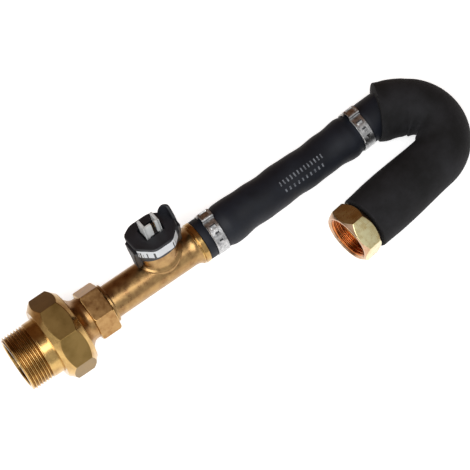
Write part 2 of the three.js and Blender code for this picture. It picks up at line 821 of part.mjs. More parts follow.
// Foam tube: straight over the elbow, round the bend and up the leg to the nut. It lies on
// the floor up to the bend's end.
const foamStart = bendStart - foamMouthLength;
const foamEnd = nutFace - nutLength - foamNutGap;
const foamOuter = smoothThrough([
  [foamStart, foamMouthDiameter / 2], [bendStart, foamDiameter / 2],
  [bendEnd, foamDiameter / 2], [bendEnd + legLength / 2, foamLegDiameter / 2],
  [foamEnd - foamFlareLength, foamLegDiameter / 2], [foamEnd, foamNutEndDiameter / 2],
]);
const foamShift = smoothThrough([[foamStart, foamMouthShift], [bendStart, 0]]);
const foamMouth = run.plan(bendStart);
const foamRoute = new Route({
  x: foamMouth.x - foamMouthLength * Math.cos(foamMouth.heading),
  y: foamMouth.y - foamMouthLength * Math.sin(foamMouth.heading),
  heading: THREE.MathUtils.radToDeg(foamMouth.heading),
  distance: foamStart,
  height: (distance) => (distance < bendStart ? foamOuter(distance) : runHeight(distance)),
  steps: [
    [foamMouthLength, 0],
    [bendLength, bendTurn],
    [legLength, 0],
  ],
});

function foamSleeve() {
  const step = (distance) => {
    if (distance >= bendStart && distance < bendEnd) return bendLength / bendSteps;
    return distance < bendStart ? 8 : 30;
  };
  const list = stations([foamStart, bendStart, bendEnd, foamEnd], step);
  const profile = [[foamStart, 0], ...list.map((at) => [at, foamOuter(at)]), [foamEnd, 0]];
  const outside = turned(profile, sleeveSegments);
  const points = outside.attributes.position;
  for (let i = 0; i < points.count; i += 1) {
    points.setY(i, points.getY(i) - foamShift(points.getX(i)));
  }
  const plain = solid(foamRoute.bend(outside));
  const pipeSpace = pipeDiameter / 2 + seatGap;
  const within = stations(
    [secondClamp, elbowStart, elbowEnd, bendStart, bendEnd, nutFace],
    (distance) => {
      if (distance >= bendStart && distance < bendEnd) return bendLength / bendSteps;
      return distance < bendStart ? 5 : legLength;
    },
  );
  const pipeHole = solid(run.bend(turned(
    [[within[0], 0], ...within.map((at) => [at, pipeSpace]), [nutFace, 0]],
    sleeveSegments,
  )));
  const hoseHole = solid(run.bend(turned([
    [secondClamp, 0], [secondClamp, hoseDiameter / 2 + 2 * seatGap],
    [hoseEnd + 1, hoseDiameter / 2 + 2 * seatGap], [hoseEnd + 1, 0],
  ], sleeveSegments)));
  const collarHole = solid(run.bend(turned([
    [nutFace - collarEndFromFace - seatGap, 0],
    [nutFace - collarEndFromFace - seatGap, collarNeckDiameter / 2 + seatGap],
    [nutFace, collarNeckDiameter / 2 + seatGap], [nutFace, 0],
  ], sleeveSegments)));
  return plain.subtract(pipeHole).subtract(hoseHole).subtract(collarHole);
}

// Scene

const finishes = {
  brass: { color: 0xb8904a, metalness: 1, roughness: 0.3 },
  nutBrass: { color: 0xc29a4e, metalness: 1, roughness: 0.35 },
  copper: { color: 0x9a5a34, metalness: 1, roughness: 0.4 },
  steel: { color: 0xa8a4a0, metalness: 1, roughness: 0.35 },
  gold: { color: 0xc8a860, metalness: 1, roughness: 0.3 },
  blackPlastic: { color: 0x1d1e20, metalness: 0, roughness: 0.5 },
  greyPlastic: { color: 0x3c4046, metalness: 0, roughness: 0.5 },
  clearPlastic: { color: 0xb8b8b6, metalness: 0, roughness: 0.35 },
  board: { color: 0x1f5a34, metalness: 0, roughness: 0.6 },
  seal: { color: 0x2a2c30, metalness: 0, roughness: 0.8 },
  rubber: { color: 0x2a2c33, metalness: 0, roughness: 0.7 },
  foam: { color: 0x222222, metalness: 0, roughness: 0.95 },
};

function part(name, geometry, finish) {
  const mesh = new THREE.Mesh(geometry, new THREE.MeshStandardMaterial(finishes[finish]));
  mesh.name = name;
  return mesh;
}

const straight = new THREE.Group();
straight.position.z = axisHeight;
straight.add(
  part('outlet_nipple', surface(outletNipple()), 'brass'),
  part('union_seal', surface(ringSeal(
    nippleEnd + seatGap, flatSealThickness, nippleThreadDiameter, nippleBore,
  )), 'seal'),
  part('union_nut', surface(unionNut()), 'brass'),
  part('tail_adapter', surface(tailAdapter()), 'brass'),
  part('adapter_seal', surface(ringSeal(
    socketFloor + seatGap, adapterSealThickness, adapterSocketDiameter - 2 * seatGap, tubeBore,
  )), 'seal'),
  part('flow_body', surface(flowBody()), 'brass'),
);

const sensor = new THREE.Group();
sensor.applyMatrix4(sensorPlace);
sensor.add(
  part('sensor_plug', surface(sensorPlug()), 'greyPlastic'),
  part('plug_seal_ring', surface(plugSealRing()), 'seal'),
  part('bluff_body', surface(bluffBody()), 'greyPlastic'),
  part('sensing_vane', surface(sensingVane()), 'greyPlastic'),
  part('circuit_board', surface(circuitBoard()), 'board'),
  part('sensor_housing', surface(sensorHousing()), 'blackPlastic'),
  part('connector_socket', surface(connectorSocket()), 'clearPlastic'),
);
for (let i = 0; i < contactCount; i += 1) {
  sensor.add(part(`contact_pin_${i + 1}`, surface(contactPin(i)), 'gold'));
}
straight.add(sensor);

const flexible = new THREE.Group();
flexible.add(
  part('rubber_hose', surface(solid(hoseGeometry())), 'rubber'),
  part('bend_pipe', surface(solid(bendPipe())), 'copper'),
  part('foam_sleeve', surface(foamSleeve()), 'foam'),
);
[firstClamp, secondClamp].forEach((distance, index) => {
  const clamp = part(`ear_clamp_${index + 1}`, surface(earClamp()), 'steel');
  clamp.applyMatrix4(run.frame(distance));
  flexible.add(clamp);
});

// The nut and the collar are drawn back from the nut's face, against the route's direction.
const nutEnd = new THREE.Group();
nutEnd.applyMatrix4(run.frame(nutFace).multiply(new THREE.Matrix4().makeRotationZ(Math.PI)));
nutEnd.add(
  part('pipe_collar', surface(solidTurned(pipeCollar())), 'brass'),
  part('swivel_nut', surface(swivelNut()), 'nutBrass'),
);

const pipeSet = new THREE.Group();
pipeSet.add(straight, flexible, nutEnd);
pipeSet.updateMatrixWorld(true);
const bounds = new THREE.Box3().setFromObject(pipeSet, true);
const middle = bounds.getCenter(new THREE.Vector3());
pipeSet.position.set(-middle.x, -middle.y, -bounds.min.z);

export default pipeSet;
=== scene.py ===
# Heat pump pipe with a flow sensor, lying on the floor: a brass union and flow body with its
# sensor head, a rubber hose in two ear clamps, and a bent copper pipe in foam insulation that
# ends in a loose swivel nut. Shapes are worked out in millimetres and go into metres at the end.
import math

import bmesh
import bpy
import numpy as np
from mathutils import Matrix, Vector


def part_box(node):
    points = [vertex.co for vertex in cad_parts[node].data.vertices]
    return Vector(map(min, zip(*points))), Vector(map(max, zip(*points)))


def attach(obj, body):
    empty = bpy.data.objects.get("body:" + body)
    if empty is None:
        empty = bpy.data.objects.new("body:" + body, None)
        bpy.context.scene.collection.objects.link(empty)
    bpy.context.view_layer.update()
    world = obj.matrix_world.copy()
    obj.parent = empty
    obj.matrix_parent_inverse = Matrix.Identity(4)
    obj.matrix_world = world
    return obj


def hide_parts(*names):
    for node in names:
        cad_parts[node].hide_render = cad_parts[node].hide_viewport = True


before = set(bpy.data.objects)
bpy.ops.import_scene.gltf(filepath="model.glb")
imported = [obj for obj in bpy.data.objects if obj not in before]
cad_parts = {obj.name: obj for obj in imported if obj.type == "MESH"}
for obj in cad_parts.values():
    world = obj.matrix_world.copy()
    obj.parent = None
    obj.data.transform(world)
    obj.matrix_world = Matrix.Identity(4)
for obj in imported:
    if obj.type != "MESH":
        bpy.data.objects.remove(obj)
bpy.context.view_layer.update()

# Camera
# A long lens high above the outlet's end of the pipe, looking down at 69.5 degrees.
CAMERA_AIM = (-7.63, 12.73, 29.0)
CAMERA_DISTANCE = 1246.8
CAMERA_AZIMUTH, CAMERA_ELEVATION = math.radians(-36.05), math.radians(69.5)
CAMERA_SENSOR, CAMERA_LENS = 36.0, 137.87

camera = bpy.data.objects.new("camera", bpy.data.cameras.new("camera"))
camera.data.sensor_width = CAMERA_SENSOR
camera.data.lens = CAMERA_LENS
toward_camera = Vector((
    math.sin(CAMERA_AZIMUTH) * math.cos(CAMERA_ELEVATION),
    -math.cos(CAMERA_AZIMUTH) * math.cos(CAMERA_ELEVATION),
    math.sin(CAMERA_ELEVATION),
))
camera.location = (Vector(CAMERA_AIM) + CAMERA_DISTANCE * toward_camera) / 1000
camera.rotation_euler = toward_camera.to_track_quat("Z", "Y").to_euler()
bpy.context.scene.collection.objects.link(camera)
bpy.context.scene.camera = camera

# Outlet nipple
# Turned brass pipe end: a parallel pipe thread with a chamfered start, a bright plain neck, and
# a flange that the union nut pulls against the seal. Its start is where the run starts.
THREAD_DIAMETER, THREAD_LENGTH = 41.9, 18.0
THREAD_PITCH, THREAD_DEPTH = 2.309, 1.48
THREAD_CHAMFER, THREAD_RUN_OUT = 1.3, 2.2
NIPPLE_BORE, NIPPLE_END = 34.0, 34.3
NIPPLE_FLANGE_THICKNESS, NIPPLE_FLANGE_LIP = 4.0, 2.2
# The painted shade in the thread's roots starts at this part of the thread's depth.
THREAD_GRIME = 0.8

low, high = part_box("outlet_nipple")
RUN_START = 1000 * np.array([low[0], (low[1] + high[1]) / 2, (low[2] + high[2]) / 2])


def on_run(points):
    """Points of the straight run, whose X axis starts at the outlet's face, put in the row
    frame."""
    return points + RUN_START


def polar(x, radius, angle):
    """Points round the X axis: (x, radius sin(angle), radius cos(angle)), with angle 0 upward."""
    x, radius, angle = np.broadcast_arrays(x, radius, angle)
    return np.stack([x, radius * np.sin(angle), radius * np.cos(angle)], -1)


def full_turn(count):
    """Evenly spaced angles of one turn, as one row of a grid."""
    return np.linspace(0, 2 * np.pi, count, endpoint=False)[None, :]


def rounded(corners, steps=4):
    """A closed outline of (x, y, rounding) corners. Each is cut back by its rounding on both
    sides and bridged by a quadratic curve. Gives a column of x and a column of y."""
    corners = np.array([(*corner, 0)[:3] for corner in corners], float)
    places, t = corners[:, :2], np.linspace(0, 1, steps + 1)[:, None]
    points = []
    for i, (place, cut) in enumerate(zip(places, corners[:, 2])):
        if cut == 0:
            points.append(place[None])
            continue
        arms = [places[i - 1] - place, places[(i + 1) % len(places)] - place]
        ends = [place + arm * min(0.5, cut / np.linalg.norm(arm)) for arm in arms]
        points.append((1 - t) ** 2 * ends[0] + 2 * t * (1 - t) * place + t ** 2 * ends[1])
    points = np.concatenate(points)
    return points[:, :1], points[:, 1:]


def shell(points, rows_join=True, finish=0, lengths=None):
    """A closed surface on a grid of points whose columns join. Rows join too, or else the first
    and last rows are poles. finish is a material number, or one for each row or each face;
    lengths is how far each row lies along a route, for a UV map of (route, turn)."""
    rows, columns = points.shape[:2]
    row = np.arange(rows if rows_join else rows - 1)[:, None]
    column = np.arange(columns)[None, :]
    next_row, next_column = (row + 1) % rows, (column + 1) % columns
    faces = np.stack([
        row * columns + column, next_row * columns + column,
        next_row * columns + next_column, row * columns + next_column,
    ], -1)
    along = np.arange(rows) / rows if lengths is None else np.asarray(lengths, float)
    u = along[np.stack([row, next_row, next_row, row], -1)] + 0.0 * faces
    v = np.stack([column, column, column + 1, column + 1], -1) / columns + 0.0 * faces
    if np.ndim(finish) < 2:
        finish = np.reshape(finish, (-1, 1))
    finish = np.broadcast_to(finish, faces.shape[:2])
    points, faces = points.reshape(-1, 3), faces.reshape(-1, 4)
    a, b, c, d = (points[faces[:, k]] for k in range(4))
    volume = (np.cross(a, b) * c).sum() + (np.cross(a, c) * d).sum()
    uv = np.stack([u, v], -1).reshape(-1, 4, 2)
    if volume < 0:
        faces, uv = faces[:, ::-1], uv[:, ::-1]
    return points, faces, finish.reshape(-1), uv


def add_piece(name, shells, materials, replaces=(), body="pipe", even_flats=True):
    """Joins shells into one smooth-shaded object that rides on a body and stands for CAD nodes.
    Edges over 34 degrees stay sharp; even_flats keeps the shading of flats level."""
    offsets = np.cumsum([0] + [len(points) for points, *_ in shells])
    points = np.concatenate([part[0] for part in shells]) / 1000
    faces = np.concatenate([part[1] + offset for part, offset in zip(shells, offsets)])
    mesh = bpy.data.meshes.new(name)
    mesh.vertices.add(len(points))
    mesh.vertices.foreach_set("co", points.ravel())
    mesh.loops.add(faces.size)
    mesh.loops.foreach_set("vertex_index", faces.ravel())
    mesh.polygons.add(len(faces))
    mesh.polygons.foreach_set("loop_start", np.arange(0, faces.size, 4))
    mesh.polygons.foreach_set("material_index", np.concatenate([part[2] for part in shells]))
    uv_map = mesh.uv_layers.new(name="surface")
    uv_map.data.foreach_set("uv", np.concatenate([part[3] for part in shells]).ravel())
    mesh.update(calc_edges=True)
    joined = bmesh.new()
    joined.from_mesh(mesh)
    bmesh.ops.remove_doubles(joined, verts=joined.verts, dist=1e-7)
    joined.to_mesh(mesh)
    joined.free()
    for material in materials:
        mesh.materials.append(material)
    mesh.shade_smooth()
    mesh.set_sharp_from_angle(angle=math.radians(34))
    piece = bpy.data.objects.new(name, mesh)
    bpy.context.scene.collection.objects.link(piece)
    if even_flats:
        piece.modifiers.new("even_flats", "WEIGHTED_NORMAL").keep_sharp = True
    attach(piece, body)
    if replaces:
        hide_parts(*replaces)
    return piece


def linear(code):
    """An sRGB hex colour as linear red, green, blue and alpha."""
    values = np.array([int(code[i:i + 2], 16) for i in (1, 3, 5)]) / 255
    values = np.where(values <= 0.04045, values / 12.92, ((values + 0.055) / 1.055) ** 2.4)
    return (*values.tolist(), 1.0)


def add_node(tree, kind, values=None, links=None):
    """Adds a shader node. values are its own settings by name, its sockets by name or number,
    or the stops of a colour ramp; links are sockets and the outputs that feed them."""
    node = tree.nodes.new("ShaderNode" + kind)
    for key, value in (values or {}).items():
        if key == "stops":
            elements = node.color_ramp.elements
            for element, stop in zip((elements[0], elements[-1]), (value[0], value[-1])):
                element.position, element.color = stop
            for place, color in value[1:-1]:
                elements.new(place).color = color
        elif isinstance(key, str) and hasattr(node, key):
            setattr(node, key, value)
        else:
            node.inputs[key].default_value = value
    for key, output in (links or {}).items():
        tree.links.new(output, node.inputs[key])
    return node


def new_material(name, **constants):
    """An empty material with a Principled shader, whose constants are set on its own sockets.
    Gives the material, its tree, the shader and the Object coordinates."""
    material = bpy.data.materials.new(name)
    material.use_nodes = True
    tree = material.node_tree
    shader = next(node for node in tree.nodes if node.type == "BSDF_PRINCIPLED")
    for key, value in constants.items():
        shader.inputs[key.replace("_", " ").capitalize()].default_value = value
    place = add_node(tree, "TexCoord").outputs["Object"]
    return material, tree, shader, place


def per_mm(size):
    """The scale at which a pattern on Object coordinates repeats about every size millimetres."""
    return 1000.0 / size


def mottle(tree, shader, place, noise, stops, gloss=None, span=(0.0, 1.0)):
    """Soft blotches: noise of (size in mm, detail, roughness) on Object coordinates goes through
    a colour ramp's stops to the base colour. gloss is the roughness at the two ends of the
    noise's span. Gives the ramp."""
    size, detail, roughness = noise
    clouds = add_node(
        tree, "TexNoise", {"Scale": per_mm(size), "Detail": detail, "Roughness": roughness},
        {"Vector": place},
    )
    tone = add_node(
        tree, "ValToRGB", {"stops": [(at, linear(code)) for at, code in stops]},
        {"Fac": clouds.outputs["Fac"]},
    )
    tree.links.new(tone.outputs["Color"], shader.inputs["Base Color"])
    if gloss:
        shine = add_node(
            tree, "MapRange",
            {"From Min": span[0], "From Max": span[1], "To Min": gloss[0], "To Max": gloss[1]},
            {"Value": clouds.outputs["Fac"]},
        )
        tree.links.new(shine.outputs["Result"], shader.inputs["Roughness"])
    return tone


def brass(name, pale, deep, roughness, marks, depth, blotch=9.0):
    """Brass, a copper and zinc alloy with a warm yellow shine: colour from pale to deep in soft
    blotches of tarnish, and cutting marks across the run. marks is how many millimetres apart
    they are, and depth how many millimetres deep."""
    material, tree, shader, place = new_material(name, Metallic=1.0)
    mottle(
        tree, shader, place, (blotch, 4.0, 0.6), [(0.3, deep), (0.62, pale)], roughness,
        (0.3, 0.7),
    )
    across = add_node(tree, "SeparateXYZ", None, {"Vector": place})
    cuts = add_node(
        tree, "TexNoise",
        {"noise_dimensions": "1D", "Scale": per_mm(marks), "Detail": 2.0},
        {"W": across.outputs["X"]},
    )
    relief = add_node(
        tree, "Bump", {"Strength": 1.0, "Distance": depth / 1000},
        {"Height": cuts.outputs["Fac"]},
    )
    tree.links.new(relief.outputs["Normal"], shader.inputs["Normal"])
    return material


# Turned and left bright: fine rings from the lathe tool, close to a mirror.
turned_brass = brass("turned_brass", "#C4A265", "#9F7C4B", (0.15, 0.26), 0.35, 0.006)
# The roots of the thread get a browner, duller brass than its crests: painted shade in its
# grooves.
root_brass = brass("thread_root_painted_shade", "#A07A45", "#80602F", (0.35, 0.5), 0.35, 0.004)


def thread_depth(x, angle, pitch):
    """Depth of a 55 degree thread, from 0 on the crest to 1 in the root: a triangle wave along
    the run that moves one pitch each turn, cut off and rounded at both ends by a smoothstep."""
    phase = (x / pitch - angle / (2 * np.pi)) % 1
    depth = np.clip(1.3 * np.abs(2 * phase - 1) - 0.15, 0, 1)
    return depth * depth * (3 - 2 * depth)


crest = THREAD_DIAMETER / 2
angles = full_turn(180)
x = np.linspace(0.25, THREAD_LENGTH + 0.3, 260)[:, None]
fade = np.clip((THREAD_LENGTH - x) / THREAD_RUN_OUT, 0, 1)
threaded = crest - THREAD_DEPTH * thread_depth(x, angles, THREAD_PITCH) * fade
threaded = np.minimum(threaded, crest - THREAD_CHAMFER + x)
flange = crest + NIPPLE_FLANGE_LIP
rear_x, rear_r = rounded([
    (THREAD_LENGTH + 1.2, crest), (NIPPLE_END - NIPPLE_FLANGE_THICKNESS, crest),
    (NIPPLE_END - NIPPLE_FLANGE_THICKNESS, flange, 0.3), (NIPPLE_END, flange, 0.3),
    (NIPPLE_END, NIPPLE_BORE / 2, 0.4), (0.6, NIPPLE_BORE / 2), (0, NIPPLE_BORE / 2 + 0.6),
    (0, crest - THREAD_CHAMFER),
])
nipple = np.concatenate([polar(x, threaded, angles), polar(rear_x, rear_r, angles)])
finish = np.zeros(nipple.shape[:2], int)
# Faces deep in the thread's roots take the darker brass, as painted shade.
finish[:len(x)] = crest - threaded > THREAD_GRIME * THREAD_DEPTH
finish[:3] = 0
add_piece(
    "outlet_nipple_threaded", [shell(on_run(nipple), finish=finish)],
    [turned_brass, root_brass], ["outlet_nipple"], even_flats=False,
)

# Union nut
# An octagon milled from brass bar, its corners turned off at 45 degrees at both ends. The flats
# keep the dull brown of the mill, and the turned chamfers are bright.
UNION_NUT_START, UNION_NUT_LENGTH, UNION_NUT_FLATS = 25.0, 23.4, 58.0
UNION_NUT_FACE, UNION_NUT_WEB = 52.0, 5.0
UNION_NUT_HOLE, UNION_THREAD_DIAMETER = 42.5, 47.8


def polygon(sides, across_flats, rounding, turn=0.0, per_flat=8, per_corner=4):
    """Angles and radii round a regular polygon with rounded corners, one flat facing angle 0
    before the turn. A flat has radius h / cos(angle), and a corner is an arc round a centre
    that lies the rounding inside both flats."""
    height, half = across_flats / 2, math.pi / sides
    centre = np.array([height - rounding, (height - rounding) * math.tan(half)])
    flat_end = math.atan2(centre[1], height)
    flat = np.arctan(np.linspace(-centre[1], centre[1], per_flat + 1) / height)
    corner = np.linspace(flat_end, 2 * half - flat_end, per_corner + 1)[1:-1]
    sector = np.concatenate([flat, corner])
    from_flat = np.where(sector > half, 2 * half - sector, np.abs(sector))
    reach = centre[0] * np.cos(from_flat) + centre[1] * np.sin(from_flat)
    arc = reach + np.sqrt(np.maximum(reach ** 2 - centre @ centre + rounding ** 2, 0))
    radius = np.where(from_flat <= flat_end + 1e-9, height / np.cos(from_flat), arc)
    angles = (np.arange(sides)[:, None] * 2 * half + sector + turn).reshape(1, -1)
    return angles, np.tile(radius, sides)[None, :]


def chamfered(start, end, face_radius, radius, cut=0.35):
    """Rows of a prism's outside with a 45 degree cone at each end, which starts at face_radius
    in a row of the caller's. The rows are where the cones meet the flats: both sides of that
    edge are cut back by the cut and bridged by a quadratic curve."""
    face_radius = np.minimum(face_radius, radius - cut)
    rise = radius - face_radius
    cut = np.minimum(cut, rise / 2)
    rows = []
    for t in (0.0, 0.5, 1.0):
        on_cone, on_flat = (1 - t) ** 2, t ** 2
        along = rise - on_cone * cut + on_flat * cut
        rows.append((along, face_radius + rise - on_cone * cut))
    front = [(start + along, height) for along, height in rows]
    back = [(end - along, height) for along, height in reversed(rows)]
    x = np.concatenate([part[0] for part in front + back])
    return x, np.concatenate([part[1] for part in front + back])


# Coarse cutter marks under brown tarnish: a dull flat that mirrors nothing clearly.
milled_brass = brass("milled_brass", "#8C7244", "#775F33", (0.42, 0.5), 0.9, 0.012, 14.0)

start, end = UNION_NUT_START, UNION_NUT_START + UNION_NUT_LENGTH
angles, octagon = polygon(8, UNION_NUT_FLATS, 0.5)
side_x, side_r = chamfered(start, end, UNION_NUT_FACE / 2, octagon)
rest_x, rest_r = rounded([
    (end - 0.01, UNION_NUT_FACE / 2, 0.3), (end, UNION_THREAD_DIAMETER / 2 + 0.8),
    (end - 0.8, UNION_THREAD_DIAMETER / 2), (start + UNION_NUT_WEB, UNION_THREAD_DIAMETER / 2),
    (start + UNION_NUT_WEB, UNION_NUT_HOLE / 2), (start + 0.5, UNION_NUT_HOLE / 2),
    (start, UNION_NUT_HOLE / 2 + 0.5), (start, UNION_NUT_FACE / 2 - 0.15),
    (start + 0.06, UNION_NUT_FACE / 2),
])
rest = polar(rest_x, rest_r, angles)
nut = np.concatenate([polar(side_x, side_r, angles), rest])
finish = np.zeros(len(nut), int)
finish[1:4] = 1
add_piece(
    "union_nut_octagon", [shell(on_run(nut), finish=finish)], [turned_brass, milled_brass],
    ["union_nut"],
)

# Tail adapter
# Turned from hexagon brass bar: a threaded head inside the union nut, a concave flare down to a
# short neck, and the hexagon with a socket for the flow body.
ADAPTER_START, ADAPTER_FLARE_START, ADAPTER_FLARE_LENGTH = 36.9, 49.0, 6.5
ADAPTER_FLARE, ADAPTER_NECK = 43.0, 31.8
ADAPTER_HEX_START, ADAPTER_HEX_LENGTH = 57.7, 15.8
ADAPTER_HEX_FLATS, ADAPTER_HEX_FACE, ADAPTER_HEX_EDGE = 34.0, 36.6, 0.7
ADAPTER_HEX_TURN = math.radians(-3.5)
ADAPTER_BORE, ADAPTER_SOCKET, ADAPTER_SOCKET_FLOOR = 18.0, 22.6, 58.7

start, end = ADAPTER_HEX_START, ADAPTER_HEX_START + ADAPTER_HEX_LENGTH
angles, hexagon = polygon(6, ADAPTER_HEX_FLATS, 0.6, turn=ADAPTER_HEX_TURN, per_flat=12)
quarter = np.linspace(0, np.pi / 2, 13)[:, None]
flare_x = ADAPTER_FLARE_START + ADAPTER_FLARE_LENGTH * np.sin(quarter)
drop = (ADAPTER_FLARE - ADAPTER_NECK) / 2
flare_r = ADAPTER_NECK / 2 + drop * (1 - np.sin(quarter)) ** 2
hex_x, hex_r = chamfered(start, end, ADAPTER_HEX_FACE / 2, hexagon, ADAPTER_HEX_EDGE)
inside_x, inside_r = rounded([
    (end, ADAPTER_HEX_FLATS / 2 - 0.6), (end, ADAPTER_SOCKET / 2),
    (ADAPTER_SOCKET_FLOOR, ADAPTER_SOCKET / 2), (ADAPTER_SOCKET_FLOOR, ADAPTER_BORE / 2),
    (ADAPTER_START, ADAPTER_BORE / 2, 0.5), (ADAPTER_START, UNION_THREAD_DIAMETER / 2 - 0.3, 0.5),
    (ADAPTER_FLARE_START, UNION_THREAD_DIAMETER / 2 - 0.3, 0.4),
    (ADAPTER_FLARE_START, ADAPTER_FLARE / 2),
])
inside = polar(inside_x, inside_r, angles)
flare = polar(flare_x, flare_r, angles)
neck = polar(start - 0.05, ADAPTER_NECK / 2, angles)
adapter = np.concatenate([flare, neck, polar(hex_x, hex_r, angles), inside])
finish = np.zeros(len(adapter), int)
hex_row = len(flare) + 1
finish[hex_row + 1:hex_row + 4] = 1
finish[:len(flare)] = 1
# Bar as it was drawn: smooth but not bright, in small brown blotches, with blurred reflections.
hex_brass = brass("hexagon_bar_brass", "#AE8A5A", "#8F693F", (0.3, 0.4), 0.6, 0.008, 4.0)
add_piece(
    "tail_adapter_turned", [shell(on_run(adapter), finish=finish)], [turned_brass, hex_brass],
    ["tail_adapter"],
)

# Flow body
# Hot-pressed brass, ground and tumbled to a soft shine: a tube with a thin shoulder, a flare and
# a collar for the hose, the barbed tail inside it, and an oval boss for the sensor that stands on
# a thin saddle.
BODY_START, SHOULDER_START, SHOULDER_LENGTH, SHOULDER = 60.7, 73.8, 2.0, 29.0
TUBE, TUBE_BORE, TUBE_FLARE_LENGTH = 25.0, 18.0, 7.0
COLLAR_START, COLLAR_LENGTH, COLLAR = 147.6, 3.6, 31.0
GROOVE_WIDTH, GROOVE_DEPTH = 1.3, 1.5
HOSE_TAIL, HOSE_BARB, HOSE_TAIL_LENGTH = 22.0, 24.0, 31.0
BARB_LENGTH, BARB_PITCH, BARB_COUNT = 5.0, 8.5, 3
SENSOR_STATION, SENSOR_TILT = 122.0, math.radians(20)
BOSS_FOOT, BOSS_HALF_LENGTH, BOSS_OVAL, BOSS_TOP = 16.5, 14.0, 0.7, 24.0
BOSS_BRIM, BOSS_FILLET, BOSS_POCKET = 0.9, 2.2, 9.5
BOSS_ROOT, BOSS_POCKET_FLOOR = 6.0, 9.5

# Tumbling rounds every mark, so its highlights are broad and soft, in small brown blotches.
cast_brass = brass("tumbled_brass", "#AB8A5B", "#836341", (0.24, 0.4), 1.3, 0.008, 7.0)

tube, collar = TUBE / 2, COLLAR / 2
groove_start, collar_end = COLLAR_START - GROOVE_WIDTH, COLLAR_START + COLLAR_LENGTH
flare_start, tail_end = groove_start - TUBE_FLARE_LENGTH, collar_end + HOSE_TAIL_LENGTH
outline = [
    (BODY_START, TUBE_BORE / 2), (BODY_START, ADAPTER_SOCKET / 2 - 0.3),
    (SHOULDER_START, ADAPTER_SOCKET / 2 - 0.3), (SHOULDER_START, SHOULDER / 2, 0.5),
    (SHOULDER_START + SHOULDER_LENGTH, SHOULDER / 2, 0.5),
    (SHOULDER_START + SHOULDER_LENGTH, tube, 0.8),
    (flare_start + 2, tube, 2.0), (flare_start + 5.2, tube + 0.7, 1.8),
    (groove_start, collar - 0.5, 0.25), (groove_start, collar - GROOVE_DEPTH),
    (COLLAR_START, collar - GROOVE_DEPTH), (COLLAR_START, collar, 0.35),
    (collar_end, collar, 0.5), (collar_end, HOSE_TAIL / 2),
]
for barb in range(BARB_COUNT - 1, -1, -1):
    barb_end = tail_end - barb * BARB_PITCH
    outline += [
        (barb_end - BARB_LENGTH - 0.6, HOSE_TAIL / 2), (barb_end - BARB_LENGTH, HOSE_BARB / 2),
        (barb_end, HOSE_TAIL / 2),
    ]
outline += [(tail_end, TUBE_BORE / 2)]
body_x, body_r = rounded(outline)
# The collar and its groove are turned bright after the tumbling.
machined = (body_x > groove_start - 0.4) & (body_r > collar - GROOVE_DEPTH - 0.1)
tube_shell = shell(on_run(polar(body_x, body_r, full_turn(120))), finish=machined.astype(int))


def on_sensor(points):
    """Points of the sensor, whose Z axis leaves the tube's axis along the tilted boss, put in
    the row frame."""
    x, y, z = np.moveaxis(points, -1, 0)
    cosine, sine = math.cos(SENSOR_TILT), math.sin(SENSOR_TILT)
    turned = np.stack([x, y * cosine + z * sine, z * cosine - y * sine], -1)
    return on_run(turned + [SENSOR_STATION, 0, 0])


def oval(half_length, ratio, angle):
    """Radius of an ellipse round its centre, half_length along X and ratio times that along Y."""
    return half_length * ratio / np.hypot(ratio * np.cos(angle), np.sin(angle))


def stack(levels, angle, centre=(0.0, 0.0)):
    """A grid of level outlines round the Z axis, from (height, radius by angle) pairs. A height
    may vary with the angle too."""
    rows = []
    for height, radius in levels:
        radius, height = np.broadcast_arrays(radius + 0 * angle, height + 0 * angle)
        x, y = centre[0] + radius * np.cos(angle), centre[1] + radius * np.sin(angle)
        rows.append(np.stack([x, y, height], -1))
    return np.concatenate(rows)


def saddle(radius, angle, lift):
    """Height over the tube's axis of a point on the tube, lifted from it along its radius."""
    y = radius * np.sin(angle)
    return np.sqrt(np.maximum((tube + lift) ** 2 - y ** 2, 0))


angles = full_turn(96)
foot = oval(BOSS_FOOT, BOSS_OVAL, angles)
wall = oval(BOSS_HALF_LENGTH, BOSS_OVAL, angles)
pocket = oval(BOSS_POCKET, BOSS_OVAL, angles)
levels = [
    (BOSS_ROOT, 0.0), (BOSS_ROOT, foot - 1.0), (saddle(foot, angles, -0.6), foot),
    (saddle(foot, angles, BOSS_BRIM - 0.35), foot),
    (saddle(foot - 0.12, angles, BOSS_BRIM - 0.1), foot - 0.12),
    (saddle(foot - 0.4, angles, BOSS_BRIM), foot - 0.4),
]
for turn in np.linspace(0, np.pi / 2, 7):
    radius = wall + BOSS_FILLET * (1 - math.sin(turn))
    radius = np.minimum(radius, foot - 0.5)
    height = saddle(radius, angles, BOSS_BRIM) + BOSS_FILLET * (1 - math.cos(turn))
    levels.append((height, radius))
levels += [
    (BOSS_TOP - 0.6, wall), (BOSS_TOP - 0.15, wall - 0.15), (BOSS_TOP, wall - 0.6),
    (BOSS_TOP, pocket), (BOSS_POCKET_FLOOR, pocket), (BOSS_POCKET_FLOOR, 0.0),
]
boss_shell = shell(on_sensor(stack(levels, angles)), rows_join=False)
add_piece(
    "flow_body_with_boss", [tube_shell, boss_shell], [cast_brass, turned_brass],
    ["flow_body"],
)

# Sensor head
# Moulded black glass-filled nylon: an uneven octagon cap with soft edges and a recess for the
# connector, a skirt round the plug, and two legs that grip the boss. The right leg goes up past
# the cap as a release tab.
CAP_CORNERS = [(-7, -17), (7, -17), (17, -7), (17, 6.5), (6.5, 14.3), (-9.3, 14.3), (-17, 9.5),
               (-17, -7)]
CAP_BOTTOM, CAP_TOP, CAP_ROUNDING, CAP_TOP_EDGE = 30.6, 40.4, 3.0, 1.5
SKIRT_HALF_LENGTH, SKIRT_OVAL = 16.4, 0.78
HOLLOW_HALF_LENGTH, HOLLOW_OVAL, HOLLOW_TOP = 12.5, 0.72, 34.4
RECESS_LENGTH, RECESS_WIDTH, RECESS_FLOOR = 16.0, 12.6, 37.0
CONNECTOR_SHIFT = (0.6, 0.8)
LEG_INNER = 13.2
